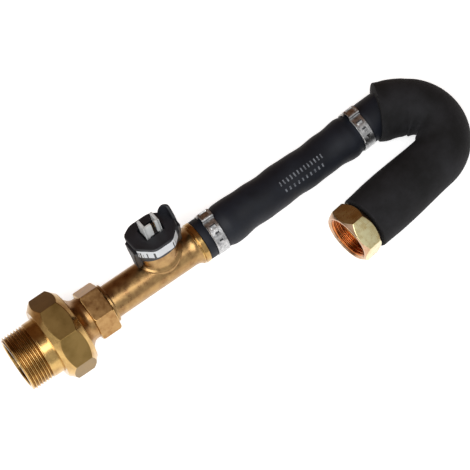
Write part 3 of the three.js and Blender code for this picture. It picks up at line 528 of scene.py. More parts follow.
# Levels of a leg as (height, reach from the axis, front, back).
LEG_LEVELS = [
    (15.0, 18.1, -1.3, 4.4), (15.4, 18.4, -1.7, 4.8), (29.6, 18.8, -5.5, 6.0),
    (36.4, 18.8, -7.5, 6.3), (36.9, 18.45, -7.2, 6.0), (37.0, 18.0, -6.7, 5.5),
]
# The tab's top edge as (x, y, height), from its far end to its near one, over the right leg.
TAB_EDGE = np.array([
    (12.0, 9.7, 39.0), (12.4, 9.4, 41.0), (13.2, 8.9, 44.6), (15.4, 7.4, 48.2),
    (17.6, 5.4, 49.3), (18.8, 3.6, 49.3), (19.0, 2.0, 48.6), (19.0, 0.0, 45.5),
    (19.0, -2.0, 40.0), (18.9, -2.6, 37.5),
])
TAB_THICKNESS, TAB_FOOT = 2.2, 32.0


def plastic(name, color, shade, roughness, grain, depth):
    """Moulded plastic: a nearly even colour and a satin skin that copies the spark-eroded mould,
    with a grain so many millimetres across and a depth in millimetres."""
    material, tree, shader, place = new_material(name)
    mottle(tree, shader, place, (12.0, 3.0, 0.5), [(0.35, shade), (0.65, color)])
    sparks = add_node(tree, "TexNoise", {"Scale": per_mm(grain), "Detail": 2.0}, {"Vector": place})
    gloss = add_node(
        tree, "MapRange",
        {"From Min": 0.3, "From Max": 0.7, "To Min": roughness[0], "To Max": roughness[1]},
        {"Value": sparks.outputs["Fac"]},
    )
    relief = add_node(
        tree, "Bump", {"Strength": 0.7, "Distance": depth / 1000},
        {"Height": sparks.outputs["Fac"]},
    )
    tree.links.new(gloss.outputs["Result"], shader.inputs["Roughness"])
    tree.links.new(relief.outputs["Normal"], shader.inputs["Normal"])
    return material


# Glass fibres near the skin keep it satin, and carbon black makes it a cold near-black.
black_nylon = plastic("black_glass_filled_nylon", "#1A1C22", "#121419", (0.42, 0.56), 0.5, 0.03)


def oblong(half_length, half_width, angle, power=9.0):
    """Radius of a rounded rectangle round its centre: a superellipse of the given power."""
    return (np.abs(np.cos(angle) / half_length) ** power
            + np.abs(np.sin(angle) / half_width) ** power) ** (-1 / power)


def outline_radius(x, y, angle, per_side=20):
    """Radius at each angle of a closed outline of (x, y) points round its centre: every side is
    cut into equal parts, and the radius is read between their ends by angle."""
    corners = np.concatenate([x, y], 1)
    sides = np.roll(corners, -1, axis=0) - corners
    share = np.linspace(0, 1, per_side, endpoint=False)[None, :, None]
    x, y = (corners[:, None] + share * sides[:, None]).reshape(-1, 2).T
    return np.interp(angle, np.arctan2(y, x), np.hypot(x, y), period=2 * np.pi)


angles = full_turn(240)
cap_corners = [(*corner, CAP_ROUNDING) for corner in CAP_CORNERS]
cap_edge = outline_radius(*rounded(cap_corners, steps=8), angles)
hollow = oval(HOLLOW_HALF_LENGTH, HOLLOW_OVAL, angles)
skirt = oval(SKIRT_HALF_LENGTH, SKIRT_OVAL, angles)
recess = oblong(RECESS_LENGTH / 2, RECESS_WIDTH / 2, angles)
levels = [
    (HOLLOW_TOP, 0.0), (HOLLOW_TOP, hollow), (BOSS_TOP + 0.3, hollow),
    (BOSS_TOP + 0.3, skirt - 0.3), (BOSS_TOP + 0.6, skirt), (CAP_BOTTOM, skirt),
    (CAP_BOTTOM, cap_edge - 0.7), (CAP_BOTTOM + 0.2, cap_edge - 0.2),
    (CAP_BOTTOM + 0.7, cap_edge),
]
for turn in np.linspace(0, np.pi / 2, 7):
    levels.append((CAP_TOP - CAP_TOP_EDGE * (1 - math.sin(turn)),
                   cap_edge - CAP_TOP_EDGE * (1 - math.cos(turn))))
well = stack([
    (CAP_TOP, recess + 0.5), (CAP_TOP - 0.15, recess + 0.15), (CAP_TOP - 0.5, recess),
    (RECESS_FLOOR, recess), (RECESS_FLOOR, 0.0),
], angles, CONNECTOR_SHIFT)
cap_shell = shell(
    on_sensor(np.concatenate([stack(levels, angles), well])), rows_join=False,
)


def capped(grid):
    """A grid whose ends are open, closed by a point in the middle of each end."""
    tips = [grid[k:k + 1].mean(1, keepdims=True) + 0 * grid[:1] for k in (0, len(grid) - 1)]
    return np.concatenate([tips[0], grid, tips[1]])


def grip_leg(side):
    """A leg that tapers to its foot: rounded rectangles stacked upward, closed at both ends."""
    rows = []
    for height, reach, front, back in LEG_LEVELS:
        radius = oblong((reach - LEG_INNER) / 2, (back - front) / 2, angles)
        centre = (side * (LEG_INNER + reach) / 2, (front + back) / 2)
        rows.append(stack([(height, radius)], angles, centre))
    return shell(on_sensor(capped(np.concatenate(rows))), rows_join=False)


# The release tab is a wall along its top edge, with a rounded section at each place. The edge
# is read at even shares and smoothed by the mean of nine neighbours.
share = np.linspace(0, len(TAB_EDGE) - 1, 72)
tab = []
for values in TAB_EDGE.T:
    values = np.interp(share, np.arange(len(TAB_EDGE)), values)
    tab.append(np.convolve(np.pad(values, 4, mode="edge"), np.ones(9) / 9, "valid"))
tab = np.stack(tab, -1)
inward = -tab[:, :2] / np.linalg.norm(tab[:, :2], axis=1, keepdims=True)
# The section as (depth from the outside, drop from the edge), where None is the foot.
section = [(0.0, None), (0.0, -1.0), (0.12, -0.4), (0.5, -0.05), (1.1, 0.0), (1.7, -0.05),
           (TAB_THICKNESS - 0.12, -0.4), (TAB_THICKNESS, -1.0), (TAB_THICKNESS, None)]
columns = []
for depth, drop in section:
    height = np.full(len(tab), TAB_FOOT) if drop is None else tab[:, 2] + drop
    columns.append(np.concatenate([tab[:, :2] + depth * inward, height[:, None]], 1))
tab_shell = shell(on_sensor(capped(np.stack(columns, 1))), rows_join=False)

add_piece(
    "sensor_head_cap", [cap_shell, tab_shell, grip_leg(-1), grip_leg(1)], [black_nylon],
    ["sensor_housing"],
)

# Label
# A matt white foil round three sides of the cap, printed with plain black ticks.
LABEL_BOTTOM, LABEL_TOP, LABEL_PROUD = 32.3, 39.2, 0.12
# The foil's two ends, as angles round the cap's middle.
LABEL_FROM, LABEL_TO = math.atan2(-7.6, -17) - 0.02, math.atan2(-11, 13)
# Ticks as (left, right, bottom, top), in parts of the foil's length and height.
LABEL_TICKS = [
    (0.018, 0.034, 0.0, 0.72), (0.052, 0.078, 0.0, 0.76), (0.108, 0.118, 0.0, 0.5),
    (0.18, 0.205, 0.0, 0.7), (0.322, 0.362, 0.0, 0.76), (0.75, 0.775, 0.0, 0.72),
    (0.825, 0.84, 0.0, 0.6),
]


def label_foil():
    """White polyester foil with a plain row of black ticks, drawn in its UV map of length and
    height. Each tick is where two comparisons agree."""
    material, tree, shader, _ = new_material("white_polyester_foil", Roughness=0.42)
    uv = add_node(tree, "UVMap", {"uv_map": "surface"}).outputs["UV"]
    axes = add_node(tree, "SeparateXYZ", None, {"Vector": uv})
    ink = None
    for left, right, bottom, top in LABEL_TICKS:
        along, up = (
            add_node(tree, "Math", {
                "operation": "COMPARE", 1: (low + high) / 2, 2: (high - low) / 2,
            }, {0: axes.outputs[axis]}).outputs[0]
            for axis, low, high in (("X", left, right), ("Y", bottom, top))
        )
        tick = add_node(tree, "Math", {"operation": "MULTIPLY"}, {0: along, 1: up}).outputs[0]
        if ink is not None:
            tick = add_node(tree, "Math", {"operation": "MAXIMUM"}, {0: ink, 1: tick}).outputs[0]
        ink = tick
    tone = add_node(
        tree, "ValToRGB", {"stops": [(0.0, linear("#C4C7CA")), (1.0, linear("#1C1D1F"))]},
        {"Fac": ink},
    )
    tree.links.new(tone.outputs["Color"], shader.inputs["Base Color"])
    return material


near = np.linspace(LABEL_FROM, LABEL_TO, 90)
cap_radius = np.interp(near, angles[0], cap_edge[0], period=2 * np.pi)
corner = np.stack([cap_radius * np.cos(near), cap_radius * np.sin(near)], -1)
steps = np.linalg.norm(np.diff(corner, axis=0), axis=1)
length = np.concatenate([[0], np.cumsum(steps)])
length /= length[-1]
grid = []
for proud, height in [
    (-0.02, LABEL_BOTTOM), (LABEL_PROUD, LABEL_BOTTOM), (LABEL_PROUD, LABEL_TOP),
    (-0.02, LABEL_TOP),
]:
    scale = 1 + proud / cap_radius
    grid.append(np.stack([corner[:, 0] * scale, corner[:, 1] * scale, height + 0 * scale], -1))
points, faces, finish, uv = shell(
    on_sensor(np.stack(grid, 1)), rows_join=False, lengths=length,
)
# The printed side is the second of the four: its V runs from 0 at the lower edge to 1.
uv[..., 1] = np.clip(4 * uv[..., 1] - 1, 0, 1)
add_piece("label_foil", [(points, faces, finish, uv)], [label_foil()])

# Connector
# Milky polyamide on a floor in black nylon, which is painted shade in the socket's hollow; it is
# open at the top and at its far side, with a key slot in the near wall. Its four contacts are the
# CAD's own pins, in gold plate.
CONNECTOR_LENGTH, CONNECTOR_WIDTH, CONNECTOR_TOP = 12.6, 9.4, 50.0
CONNECTOR_WALL, CONNECTOR_FLOOR = 2.0, 2.4
KEY_SLOT_WIDTH, KEY_SLOT_OFFSET = 3.0, 2.0

# Nylon without a pigment: smooth, milky white, glossier than the cap.
milky_nylon = plastic("milky_polyamide", "#C4C6C6", "#B2B5B5", (0.28, 0.4), 0.8, 0.01)


def block(size, centre, edge=0.25, finish=0):
    """A box with rounded edges: superellipse outlines, stacked and drawn in at both ends. finish
    is its material's number."""
    angle = full_turn(64)
    half_x, half_y, half_z = (value / 2 for value in size)
    outline = oblong(half_x, half_y, angle, 24.0)
    small = oblong(half_x - edge, half_y - edge, angle, 24.0)
    between = small + (outline - small) * 0.7
    upper = [(half_z - edge, outline), (half_z - edge * 0.3, between), (half_z, small),
             (half_z, 0.0)]
    levels = [(-height, radius) for height, radius in upper[::-1]] + upper
    return shell(on_sensor(stack(levels, angle) + centre), rows_join=False, finish=finish)


x, y = CONNECTOR_SHIFT
bottom = RECESS_FLOOR + 0.3
height = CONNECTOR_TOP - bottom
middle = bottom + height / 2
left, right = x - CONNECTOR_LENGTH / 2, x + CONNECTOR_LENGTH / 2
near_y = y - CONNECTOR_WIDTH / 2 + CONNECTOR_WALL / 2
slot_left, slot_right = (KEY_SLOT_OFFSET + side * KEY_SLOT_WIDTH / 2 for side in (-1, 1))
# The floor takes the black nylon: painted shade in the hollow between the walls.
walls = [block((CONNECTOR_LENGTH, CONNECTOR_WIDTH, CONNECTOR_FLOOR),
               (x, y, bottom + CONNECTOR_FLOOR / 2), finish=1)]
for wall_start, wall_end, depth, centre_y in (
    (left, left + CONNECTOR_WALL, CONNECTOR_WIDTH, y),
    (right - CONNECTOR_WALL, right, CONNECTOR_WIDTH, y),
    (left, slot_left, CONNECTOR_WALL, near_y),
    (slot_right, right, CONNECTOR_WALL, near_y),
):
    walls.append(block((wall_end - wall_start, depth, height),
                       ((wall_start + wall_end) / 2, centre_y, middle)))
add_piece(
    "connector_shell", walls, [milky_nylon, black_nylon], ["connector_socket"],
)

# Hose
# Black EPDM rubber, extruded over a textile braid, with a dusty satin skin. It is pushed over
# both tails to the collar and swells beside each clamp.
HOSE, HOSE_WALL, HOSE_CLAMPED, HOSE_BULGE = 30.0, 4.0, 29.2, 32.0
HOSE_START, HOSE_END, CLAMP_WIDTH = 151.5, 319.0, 9.0
FIRST_CLAMP, SECOND_CLAMP = 162.0, 293.5
PIPE, PIPE_WALL, PIPE_BEAD, PIPE_START = 22.0, 1.2, 24.4, 279.5
BOW_START, BOW_LENGTH, BOW_TURN = 168.0, 32.0, 3.0
DROP_START, DROP_END, LEG_RISE = 178.0, 284.0, 2.8
ELBOW_START, ELBOW_RADIUS, ELBOW_TURN, ELBOW_TO_BEND = 313.5, 25.0, -37.0, 4.7
BEND_RADIUS, BEND_TURN, LEG_LENGTH = 25.3, -138.6, 85.9
FOAM = 40.0

ELBOW_END = ELBOW_START + ELBOW_RADIUS * math.radians(-ELBOW_TURN)
BEND_START = ELBOW_END + ELBOW_TO_BEND
BEND_END = BEND_START + BEND_RADIUS * math.radians(-BEND_TURN)
NUT_FACE = BEND_END + LEG_LENGTH
AXIS_HEIGHT, FLOOR_HEIGHT = UNION_NUT_FLATS / 2, FOAM / 2


def smoothly(distance, pairs):
    """A value through (distance, value) pairs, with a smoothstep between each two."""
    at, value = np.array(pairs, float).T
    i = np.clip(np.searchsorted(at, distance, side="right") - 1, 0, len(at) - 2)
    t = np.clip((distance - at[i]) / (at[i + 1] - at[i]), 0, 1)
    return value[i] + (value[i + 1] - value[i]) * t * t * (3 - 2 * t)


def run_height(distance):
    """Height of the hose's and the pipe's axis over the floor."""
    drop = smoothly(distance, [(DROP_START, AXIS_HEIGHT), (DROP_END, FLOOR_HEIGHT)])
    rise = LEG_RISE * np.clip((distance - BEND_END) / LEG_LENGTH, 0, None)
    return drop + rise


class Route:
    """A line over the floor from headings at distances: it turns evenly between them, and its
    place is the running sum of small steps along the heading."""

    def __init__(self, marks, headings, start, height, step=0.05):
        self.distance = np.arange(marks[0], marks[-1] + step / 2, step)
        self.heading = np.radians(np.interp(self.distance, marks, headings))
        middle = (self.heading[1:] + self.heading[:-1]) / 2
        moves = np.stack([np.cos(middle), np.sin(middle)], -1) * step
        self.place = np.concatenate([[start], start + np.cumsum(moves, axis=0)])
        self.height = height

    def bend(self, points):
        """Bends points whose X is the distance along the route: Y goes to its left, Z up."""
        distance = points[..., 0]
        x, y = (np.interp(distance, self.distance, self.place[:, k]) for k in (0, 1))
        heading = np.interp(distance, self.distance, self.heading)
        slope = np.arctan((self.height(distance + 0.05) - self.height(distance - 0.05)) / 0.1)
        sideways, upward = points[..., 1], points[..., 2]
        back = -np.sin(slope) * upward
        return np.stack([
            x + back * np.cos(heading) - sideways * np.sin(heading),
            y + back * np.sin(heading) + sideways * np.cos(heading),
            self.height(distance) + upward * np.cos(slope),
        ], -1)


run = Route(
    [0, BOW_START, BOW_START + BOW_LENGTH, ELBOW_START, ELBOW_END, BEND_START, BEND_END,
     NUT_FACE],
    [0, 0, BOW_TURN, BOW_TURN, BOW_TURN + ELBOW_TURN, BOW_TURN + ELBOW_TURN,
     BOW_TURN + ELBOW_TURN + BEND_TURN, BOW_TURN + ELBOW_TURN + BEND_TURN],
    RUN_START[:2], run_height,
)


def sleeve(distance, outer, inner):
    """Out along a sleeve's outside and back along its bore, as a closed profile of radii."""
    x = np.concatenate([distance, distance[::-1]])
    radius = np.concatenate([outer, inner[::-1]])
    return x[:, None], radius[:, None]


# A tick takes up this first part of each pitch.
TICK_SHARE = 0.34
# Rows of the printed ticks: (start and end along the run, degrees from up, tick height, pitch).
HOSE_TICKS = [(217.0, 257.0, -16.8, 3.4, 3.1), (217.5, 254.0, -41.0, 2.6, 3.7)]


def edpm_rubber():
    """Black rubber: a bluish soft sheen with chalky bloom in blotches, and two worn rows of
    plain grey ticks, drawn in a UV map of millimetres along the run and turns round it."""
    material, tree, shader, place = new_material("black_epdm_rubber")
    shader.inputs["Specular IOR Level"].default_value = 0.28
    tone = mottle(
        tree, shader, place, (16.0, 5.0, 0.65), [(0.35, "#0E1118"), (0.7, "#161A23")],
        (0.5, 0.68),
    )
    skin = add_node(tree, "TexNoise", {"Scale": per_mm(1.2), "Detail": 3.0}, {"Vector": place})
    relief = add_node(
        tree, "Bump", {"Strength": 0.6, "Distance": 0.00008}, {"Height": skin.outputs["Fac"]},
    )
    uv = add_node(tree, "UVMap", {"uv_map": "surface"}).outputs["UV"]
    axes = add_node(tree, "SeparateXYZ", None, {"Vector": uv})
    wear = add_node(tree, "TexNoise", {"Scale": per_mm(1.6), "Detail": 3.0}, {"Vector": place})
    ink = None
    for start, end, angle, height, pitch in HOSE_TICKS:
        steps = add_node(tree, "Math", {"operation": "DIVIDE", 1: pitch}, {0: axes.outputs["X"]})
        step_share = add_node(tree, "Math", {"operation": "FRACT"}, {0: steps.outputs[0]})
        # In the row's length, in its height, in the inked part of a step, and not worn away.
        tests = [
            add_node(tree, "Math", values, {0: source}).outputs[0] for values, source in (
                ({"operation": "COMPARE", 1: (start + end) / 2, 2: (end - start) / 2},
                 axes.outputs["X"]),
                ({"operation": "COMPARE", 1: angle % 360 / 360,
                  2: height / 2 / (math.pi * HOSE)}, axes.outputs["Y"]),
                ({"operation": "LESS_THAN", 1: TICK_SHARE}, step_share.outputs[0]),
                ({"operation": "MULTIPLY_ADD", 1: 2.2, 2: -0.55}, wear.outputs["Fac"]),
            )
        ]
        row = tests[0]
        for test in tests[1:]:
            row = add_node(
                tree, "Math", {"operation": "MULTIPLY", "use_clamp": True}, {0: row, 1: test},
            ).outputs[0]
        if ink is not None:
            row = add_node(tree, "Math", {"operation": "MAXIMUM"}, {0: ink, 1: row}).outputs[0]
        ink = row
    marked = add_node(
        tree, "Mix", {"data_type": "RGBA", 7: linear("#868B93")},
        {0: ink, 6: tone.outputs["Color"]},
    )
    tree.links.new(marked.outputs[2], shader.inputs["Base Color"])
    tree.links.new(relief.outputs["Normal"], shader.inputs["Normal"])
    return material


half_band = CLAMP_WIDTH / 2
marks = np.concatenate([
    [HOSE_START, HOSE_START + 0.15, HOSE_START + 0.5],
    np.arange(HOSE_START + 1.5, HOSE_END - 1, 1.5), [HOSE_END - 0.5, HOSE_END - 0.15, HOSE_END],
])
outer = smoothly(marks, [
    (HOSE_START, HOSE / 2 + 0.1), (FIRST_CLAMP - half_band - 1.5, HOSE / 2 + 0.2),
    (FIRST_CLAMP - half_band, HOSE_CLAMPED / 2), (FIRST_CLAMP + half_band, HOSE_CLAMPED / 2),
    (FIRST_CLAMP + half_band + 7, HOSE_BULGE / 2), (tail_end + 12, HOSE / 2),
    (PIPE_START - 12, HOSE / 2 - 0.5), (SECOND_CLAMP - half_band - 6, HOSE_BULGE / 2 - 0.2),
    (SECOND_CLAMP - half_band, HOSE_CLAMPED / 2), (SECOND_CLAMP + half_band, HOSE_CLAMPED / 2),
    (SECOND_CLAMP + half_band + 1.5, HOSE / 2 + 0.2), (HOSE_END, HOSE / 2 + 0.1),
])
outer[[0, -1]] -= 0.5
outer[[1, -2]] -= 0.15
barbs_start = tail_end - (BARB_COUNT - 1) * BARB_PITCH - BARB_LENGTH
inner = smoothly(marks, [
    (HOSE_START, HOSE_TAIL / 2 + 0.3), (barbs_start - 4, HOSE_TAIL / 2 + 0.3),
    (barbs_start - 1, HOSE_BARB / 2 + 0.3), (tail_end + 1, HOSE_BARB / 2 + 0.3),
    (tail_end + 8, HOSE / 2 - HOSE_WALL), (PIPE_START - 8, HOSE / 2 - HOSE_WALL),
    (PIPE_START - 1, PIPE_BEAD / 2 + 0.3), (HOSE_END, PIPE_BEAD / 2 + 0.3),
])
angles = full_turn(96)
hose_x, hose_r = sleeve(marks, outer, inner)
# The outside is slightly lumpy between the clamps: two waves that wind round the hose.
waves = 0.32 * np.sin(hose_x / 6 + angles) + 0.16 * np.sin(hose_x / 3.3 - 2 * angles)
loose = smoothly(hose_x, [
    (FIRST_CLAMP + half_band + 2, 0), (FIRST_CLAMP + 20, 1), (SECOND_CLAMP - 20, 1),
    (SECOND_CLAMP - half_band - 2, 0),
])
hose_r = hose_r + waves * loose * (hose_r > HOSE / 2 - 1)
add_piece(
    "rubber_hose_skin",
    [shell(run.bend(polar(hose_x, hose_r, angles)), lengths=hose_x.ravel())], [edpm_rubber()],
    ["rubber_hose"],
)

# Ear clamps
# Each is one strip of stainless steel, bent to a ring that laps over itself and closed by
# pinching its ear, whose top is pressed in. Three hooks of the outer layer catch in its slots.
BAND_THICKNESS, EAR_ANGLE = 0.8, math.radians(26)
EAR_WIDTH, EAR_WAIST, EAR_HEIGHT = 8.6, 6.6, 4.4
DISH_DEPTH, DISH_STEEPNESS, DISH_HALF_LENGTH, DISH_HALF_WIDTH = 1.2, 2.2, 3.7, 3.0
LAP_FROM, LAP_TO = math.radians(-60), math.radians(11)
# Hooks as (degrees from up, half width, length of the tongue, length of the slot before it).
HOOKS = [(-5, 2.2, 1.6, 1.0), (-26, 1.5, 2.2, 1.1), (-46, 1.3, 3.4, 0.9)]


def stainless():
    """Stainless strip: rolled to a soft shine and scuffed in handling, so it is grey with small
    bright and dark spots."""
    material, tree, shader, place = new_material("stainless_strip", Metallic=1.0)
    mottle(
        tree, shader, place, (1.8, 5.0, 0.7), [(0.3, "#77787A"), (0.66, "#CDCDCD")],
        (0.22, 0.42),
    )
    return material


steel = stainless()
# The slots get a dark grey finish: painted shade in them.
slot_grime = plastic("slot_painted_shade", "#3C3E42", "#2A2B2E", (0.4, 0.6), 0.6, 0.01)
ring_inside = HOSE_CLAMPED / 2 + 0.3
ring_outside = ring_inside + BAND_THICKNESS


def strip(path, width, thickness):
    """A closed strip that follows a path in the (Y, Z) plane: at each point the section is a
    rectangle with soft edges, width along X and thickness along the path's own normal."""
    ahead = np.roll(path, -1, axis=0) - np.roll(path, 1, axis=0)
    ahead /= np.linalg.norm(ahead, axis=1, keepdims=True)
    normal = np.stack([-ahead[:, 1], ahead[:, 0]], -1)
    across = width / 2 * np.concatenate([[-1, -0.985], np.linspace(-0.95, 0.95, 19), [0.985, 1]])
    out = thickness / 2 * np.array([0.7, 0.95] + [1.0] * 19 + [0.95, 0.7])
    across, out = np.concatenate([across, across[::-1]]), np.concatenate([out, -out[::-1]])
    yz = path[:, None, :] + normal[:, None, :] * out[None, :, None]
    return np.concatenate([across[None, :, None] + 0 * yz[..., :1], yz], -1)


def clamp_path():
    """The ring's middle line with its ear upward: an open circle, then up the ear's waist, over
    its top and down again, all corners rounded."""
    ring = (ring_inside + ring_outside) / 2
    wide, narrow = EAR_WIDTH / 2 - 0.4, EAR_WAIST / 2 - 0.4
    top = ring + EAR_HEIGHT
    open_half = math.asin(wide / ring)
    turn = np.linspace(open_half, 2 * np.pi - open_half, 120)
    circle = [(ring * math.sin(a), ring * math.cos(a), 0) for a in turn]
    ear = [
        (-narrow, ring + 1.7, 1.0), (-wide - 0.3, ring + 3.2, 1.2), (-narrow * 0.6, top, 1.2),
        *[(y, top, 0) for y in np.linspace(-1.6, 1.6, 9)],
        (narrow * 0.6, top, 1.2), (wide + 0.3, ring + 3.2, 1.2), (narrow, ring + 1.7, 1.0),
    ]
    y, z = rounded(circle + ear, steps=6)
    return np.concatenate([y, z], 1)


def dimpled(points):
    """Presses the ear's top in: a dish with a flat bottom and steep sides, the product of two
    parabolas over the top's length and width, each cut off at 0 and 1."""
    x, y, z = np.moveaxis(points, -1, 0)
    dish = 1.0
    for place, half in ((x, DISH_HALF_LENGTH), (y, DISH_HALF_WIDTH)):
        dish = dish * np.clip(DISH_STEEPNESS - DISH_STEEPNESS * (place / half) ** 2, 0, 1)
    on_top = z > ring_outside + EAR_HEIGHT - 1.6
    return np.stack([x, y, z - DISH_DEPTH * dish * on_top], -1)


def lap():
    """The outer layer of the band: a strip whose outside rises in a tongue and drops in a slot
    at each hook. Gives its points and which faces lie in a slot."""
    turn = np.linspace(LAP_FROM, LAP_TO, 300)[:, None]
    x = np.linspace(-1, 1, 64)[None, :] * (CLAMP_WIDTH / 2 - 0.15)
    relief = 0 * turn * x
    dark = relief > 0
    for angle, half, tongue, slot in HOOKS:
        ahead = ring_outside * (turn - math.radians(angle))
        inside = np.clip((half - np.abs(x)) / 0.3, 0, 1)
        raised = np.clip((ahead + tongue) / tongue, 0, 1) * (ahead < 0)
        in_slot = (ahead >= 0) & (ahead < slot)
        relief += inside * (0.7 * raised - 0.6 * in_slot)
        # Faces in a slot take the dark slot material, as painted shade.
        dark = dark | ((np.abs(x) < half) & in_slot)
    soft = np.clip((1 - np.abs(x) / (CLAMP_WIDTH / 2)) * 8, 0.3, 1)
    outside = ring_outside + BAND_THICKNESS * soft + relief
    grid = np.concatenate([
        polar(x, outside, turn), polar(x[:, ::-1], ring_outside - 0.1 + 0 * turn, turn),
    ], 1)
    return capped(grid), np.pad(dark, ((1, 0), (0, dark.shape[1]))).astype(int)


def turned_about_x(points, angle):
    """Points turned about the X axis, from up toward +Y."""
    x, y, z = np.moveaxis(points, -1, 0)
    cosine, sine = math.cos(angle), math.sin(angle)
    return np.stack([x, y * cosine + z * sine, z * cosine - y * sine], -1)


band = turned_about_x(dimpled(strip(clamp_path(), CLAMP_WIDTH, BAND_THICKNESS)), EAR_ANGLE)
lap_points, lap_finish = lap()
for number, station in ((1, FIRST_CLAMP), (2, SECOND_CLAMP)):
    along = np.array([station, 0, 0])
    add_piece(
        f"ear_clamp_band_{number}",
        [shell(run.bend(band + along)),
         shell(run.bend(lap_points + along), rows_join=False, finish=lap_finish)],
        [steel, slot_grime], [f"ear_clamp_{number}"], even_flats=False,
    )

# Bent pipe
# Half-hard copper, drawn smooth, with two rolled beads that hold the hose. Only its mouth shows,
# inside the swivel nut.
COLLAR_SEAT, COLLAR_LIP = 8.2, 1.6


def copper():
    """Drawn copper: red-brown, dulled by oxide in soft blotches, with a low shine."""
    material, tree, shader, place = new_material("drawn_copper", Metallic=1.0)
    mottle(
        tree, shader, place, (8.0, 4.0, 0.5), [(0.3, "#8E4E2C"), (0.7, "#C27A52")], (0.3, 0.5),
    )
    return material


bead = PIPE_START + 2.5
pipe_end = NUT_FACE - COLLAR_SEAT - COLLAR_LIP - 0.3
marks = np.concatenate([np.arange(PIPE_START, pipe_end, 0.9), [pipe_end]])
outer = smoothly(marks, [
    (PIPE_START, PIPE / 2), (bead, PIPE / 2), (bead + 1.8, PIPE_BEAD / 2), (bead + 3.6, PIPE / 2),
    (bead + 7.2, PIPE / 2), (bead + 9, PIPE_BEAD / 2), (bead + 10.8, PIPE / 2),
    (pipe_end, PIPE / 2),
])
angles = full_turn(64)
pipe_x, pipe_r = sleeve(marks, outer, outer - PIPE_WALL)
add_piece(
    "bend_pipe_drawn", [shell(run.bend(polar(pipe_x, pipe_r, angles)))], [copper()],
    ["bend_pipe"],
)

# Foam insulation
# Closed-cell rubber foam tube, pulled over the pipe in one length. It is stretched wide and cut
# square where it meets the hose, creased inside the bend, and flared a little behind the nut.
FOAM_MOUTH, FOAM_MOUTH_LENGTH, FOAM_MOUTH_SHIFT = 42.0, 24.0, 4.5
FOAM_LEG, FOAM_NUT_END, FOAM_FLARE_LENGTH = 42.4, 41.2, 20.0
FOAM_NUT_GAP, NUT_LENGTH = 1.8, 16.0
# The mouth's bore is narrower than the hose that enters it, so no gap shows between the two.
FOAM_MOUTH_BORE, FOAM_COLLAR_BORE, FOAM_COLLAR_LENGTH = 12.0, 26.4, 20.0
# The crease: its place past the bend's start, its width, and its depth all round and inside.
FOLD_PLACE, FOLD_WIDTH, FOLD_DEPTH, FOLD_DEPTH_INSIDE = 1.5, 2.6, 0.35, 0.75
FOAM_SLANT, FOAM_SLANT_LENGTH, FOAM_OVER_FLOOR = 5.5, 22.0, 0.02

foam_start, foam_end = BEND_START - FOAM_MOUTH_LENGTH, NUT_FACE - NUT_LENGTH - FOAM_NUT_GAP


def foam_radius(distance):
    """Outer radius of the foam along its route."""
    return smoothly(distance, [
        (foam_start, FOAM_MOUTH / 2), (BEND_START, FOAM / 2), (BEND_END, FOAM / 2),
        (BEND_END + LEG_LENGTH / 2, FOAM_LEG / 2), (foam_end - FOAM_FLARE_LENGTH, FOAM_LEG / 2),
        (foam_end, FOAM_NUT_END / 2),
    ])


def foam_height(distance):
    """Height of the foam's axis: it lies on the floor up to the bend's end."""
    return np.where(distance < BEND_START, foam_radius(distance), run_height(distance))


bend_heading = BOW_TURN + ELBOW_TURN
bend_place = [np.interp(BEND_START, run.distance, run.place[:, k]) for k in (0, 1)]
mouth_way = [math.cos(math.radians(bend_heading)), math.sin(math.radians(bend_heading))]
foam_route = Route(
    [foam_start, BEND_START, BEND_END, NUT_FACE],
    [bend_heading, bend_heading, bend_heading + BEND_TURN, bend_heading + BEND_TURN],
    np.array(bend_place) - FOAM_MOUTH_LENGTH * np.array(mouth_way), foam_height,
)


def foam_rubber():
    """Closed-cell foam: matt black with a soft skin, faint grey rub marks and fine pits."""
    material, tree, shader, place = new_material("closed_cell_foam", Roughness=0.85)
    shader.inputs["Specular IOR Level"].default_value = 0.3
    mottle(tree, shader, place, (22.0, 5.0, 0.6), [(0.35, "#0B0B0C"), (0.7, "#202023")])
    cells = add_node(tree, "TexVoronoi", {"Scale": per_mm(0.9)}, {"Vector": place})
    relief = add_node(
        tree, "Bump", {"Strength": 0.5, "Distance": 0.0001},
        {"Height": cells.outputs["Distance"]},
    )
    tree.links.new(relief.outputs["Normal"], shader.inputs["Normal"])
    return material


marks = np.concatenate([
    [foam_start, foam_start + 0.2, foam_start + 0.7],
    np.arange(foam_start + 1.6, foam_end - 1.2, 0.8), [foam_end - 0.7, foam_end - 0.2, foam_end],
])
outer = foam_radius(marks)
outer[[0, -1]] -= 0.7
outer[[1, -2]] -= 0.2
inner = np.where(marks < ELBOW_END, FOAM_MOUTH_BORE / 2, PIPE / 2 + 0.4)
inner = np.where(marks > NUT_FACE - FOAM_COLLAR_LENGTH, FOAM_COLLAR_BORE / 2, inner)
foam_x, foam_r = sleeve(marks, outer, inner)
turn = full_turn(144)
outside = foam_r > PIPE / 2 + 3
# Inside the bend the foam is squeezed: it swells before the crease and sinks in behind it. On
# the outer side it bulges a little before the bend.
inner_side, outer_side = np.clip(-np.sin(turn), 0, 1), np.clip(np.sin(turn), 0, 1)
swell = smoothly(foam_x, [
    (foam_start, 0.0), (foam_start + 12, 1.2), (BEND_START, 2.0), (BEND_START + 8, 1.6),
    (BEND_START + 24, -3.2), (BEND_START + 38, -0.4), (BEND_END, 0.0),
])
bulge = smoothly(foam_x, [
    (foam_start, 0.4), (foam_start + 9, 1.3), (BEND_START, 0.2), (BEND_START + 8, 0.0),
])
fold = np.exp(-((foam_x - BEND_START - FOLD_PLACE) / FOLD_WIDTH) ** 2)
fold = fold * (FOLD_DEPTH + FOLD_DEPTH_INSIDE * inner_side)
foam_r = foam_r + outside * (swell * inner_side ** 2 + bulge * outer_side - fold)
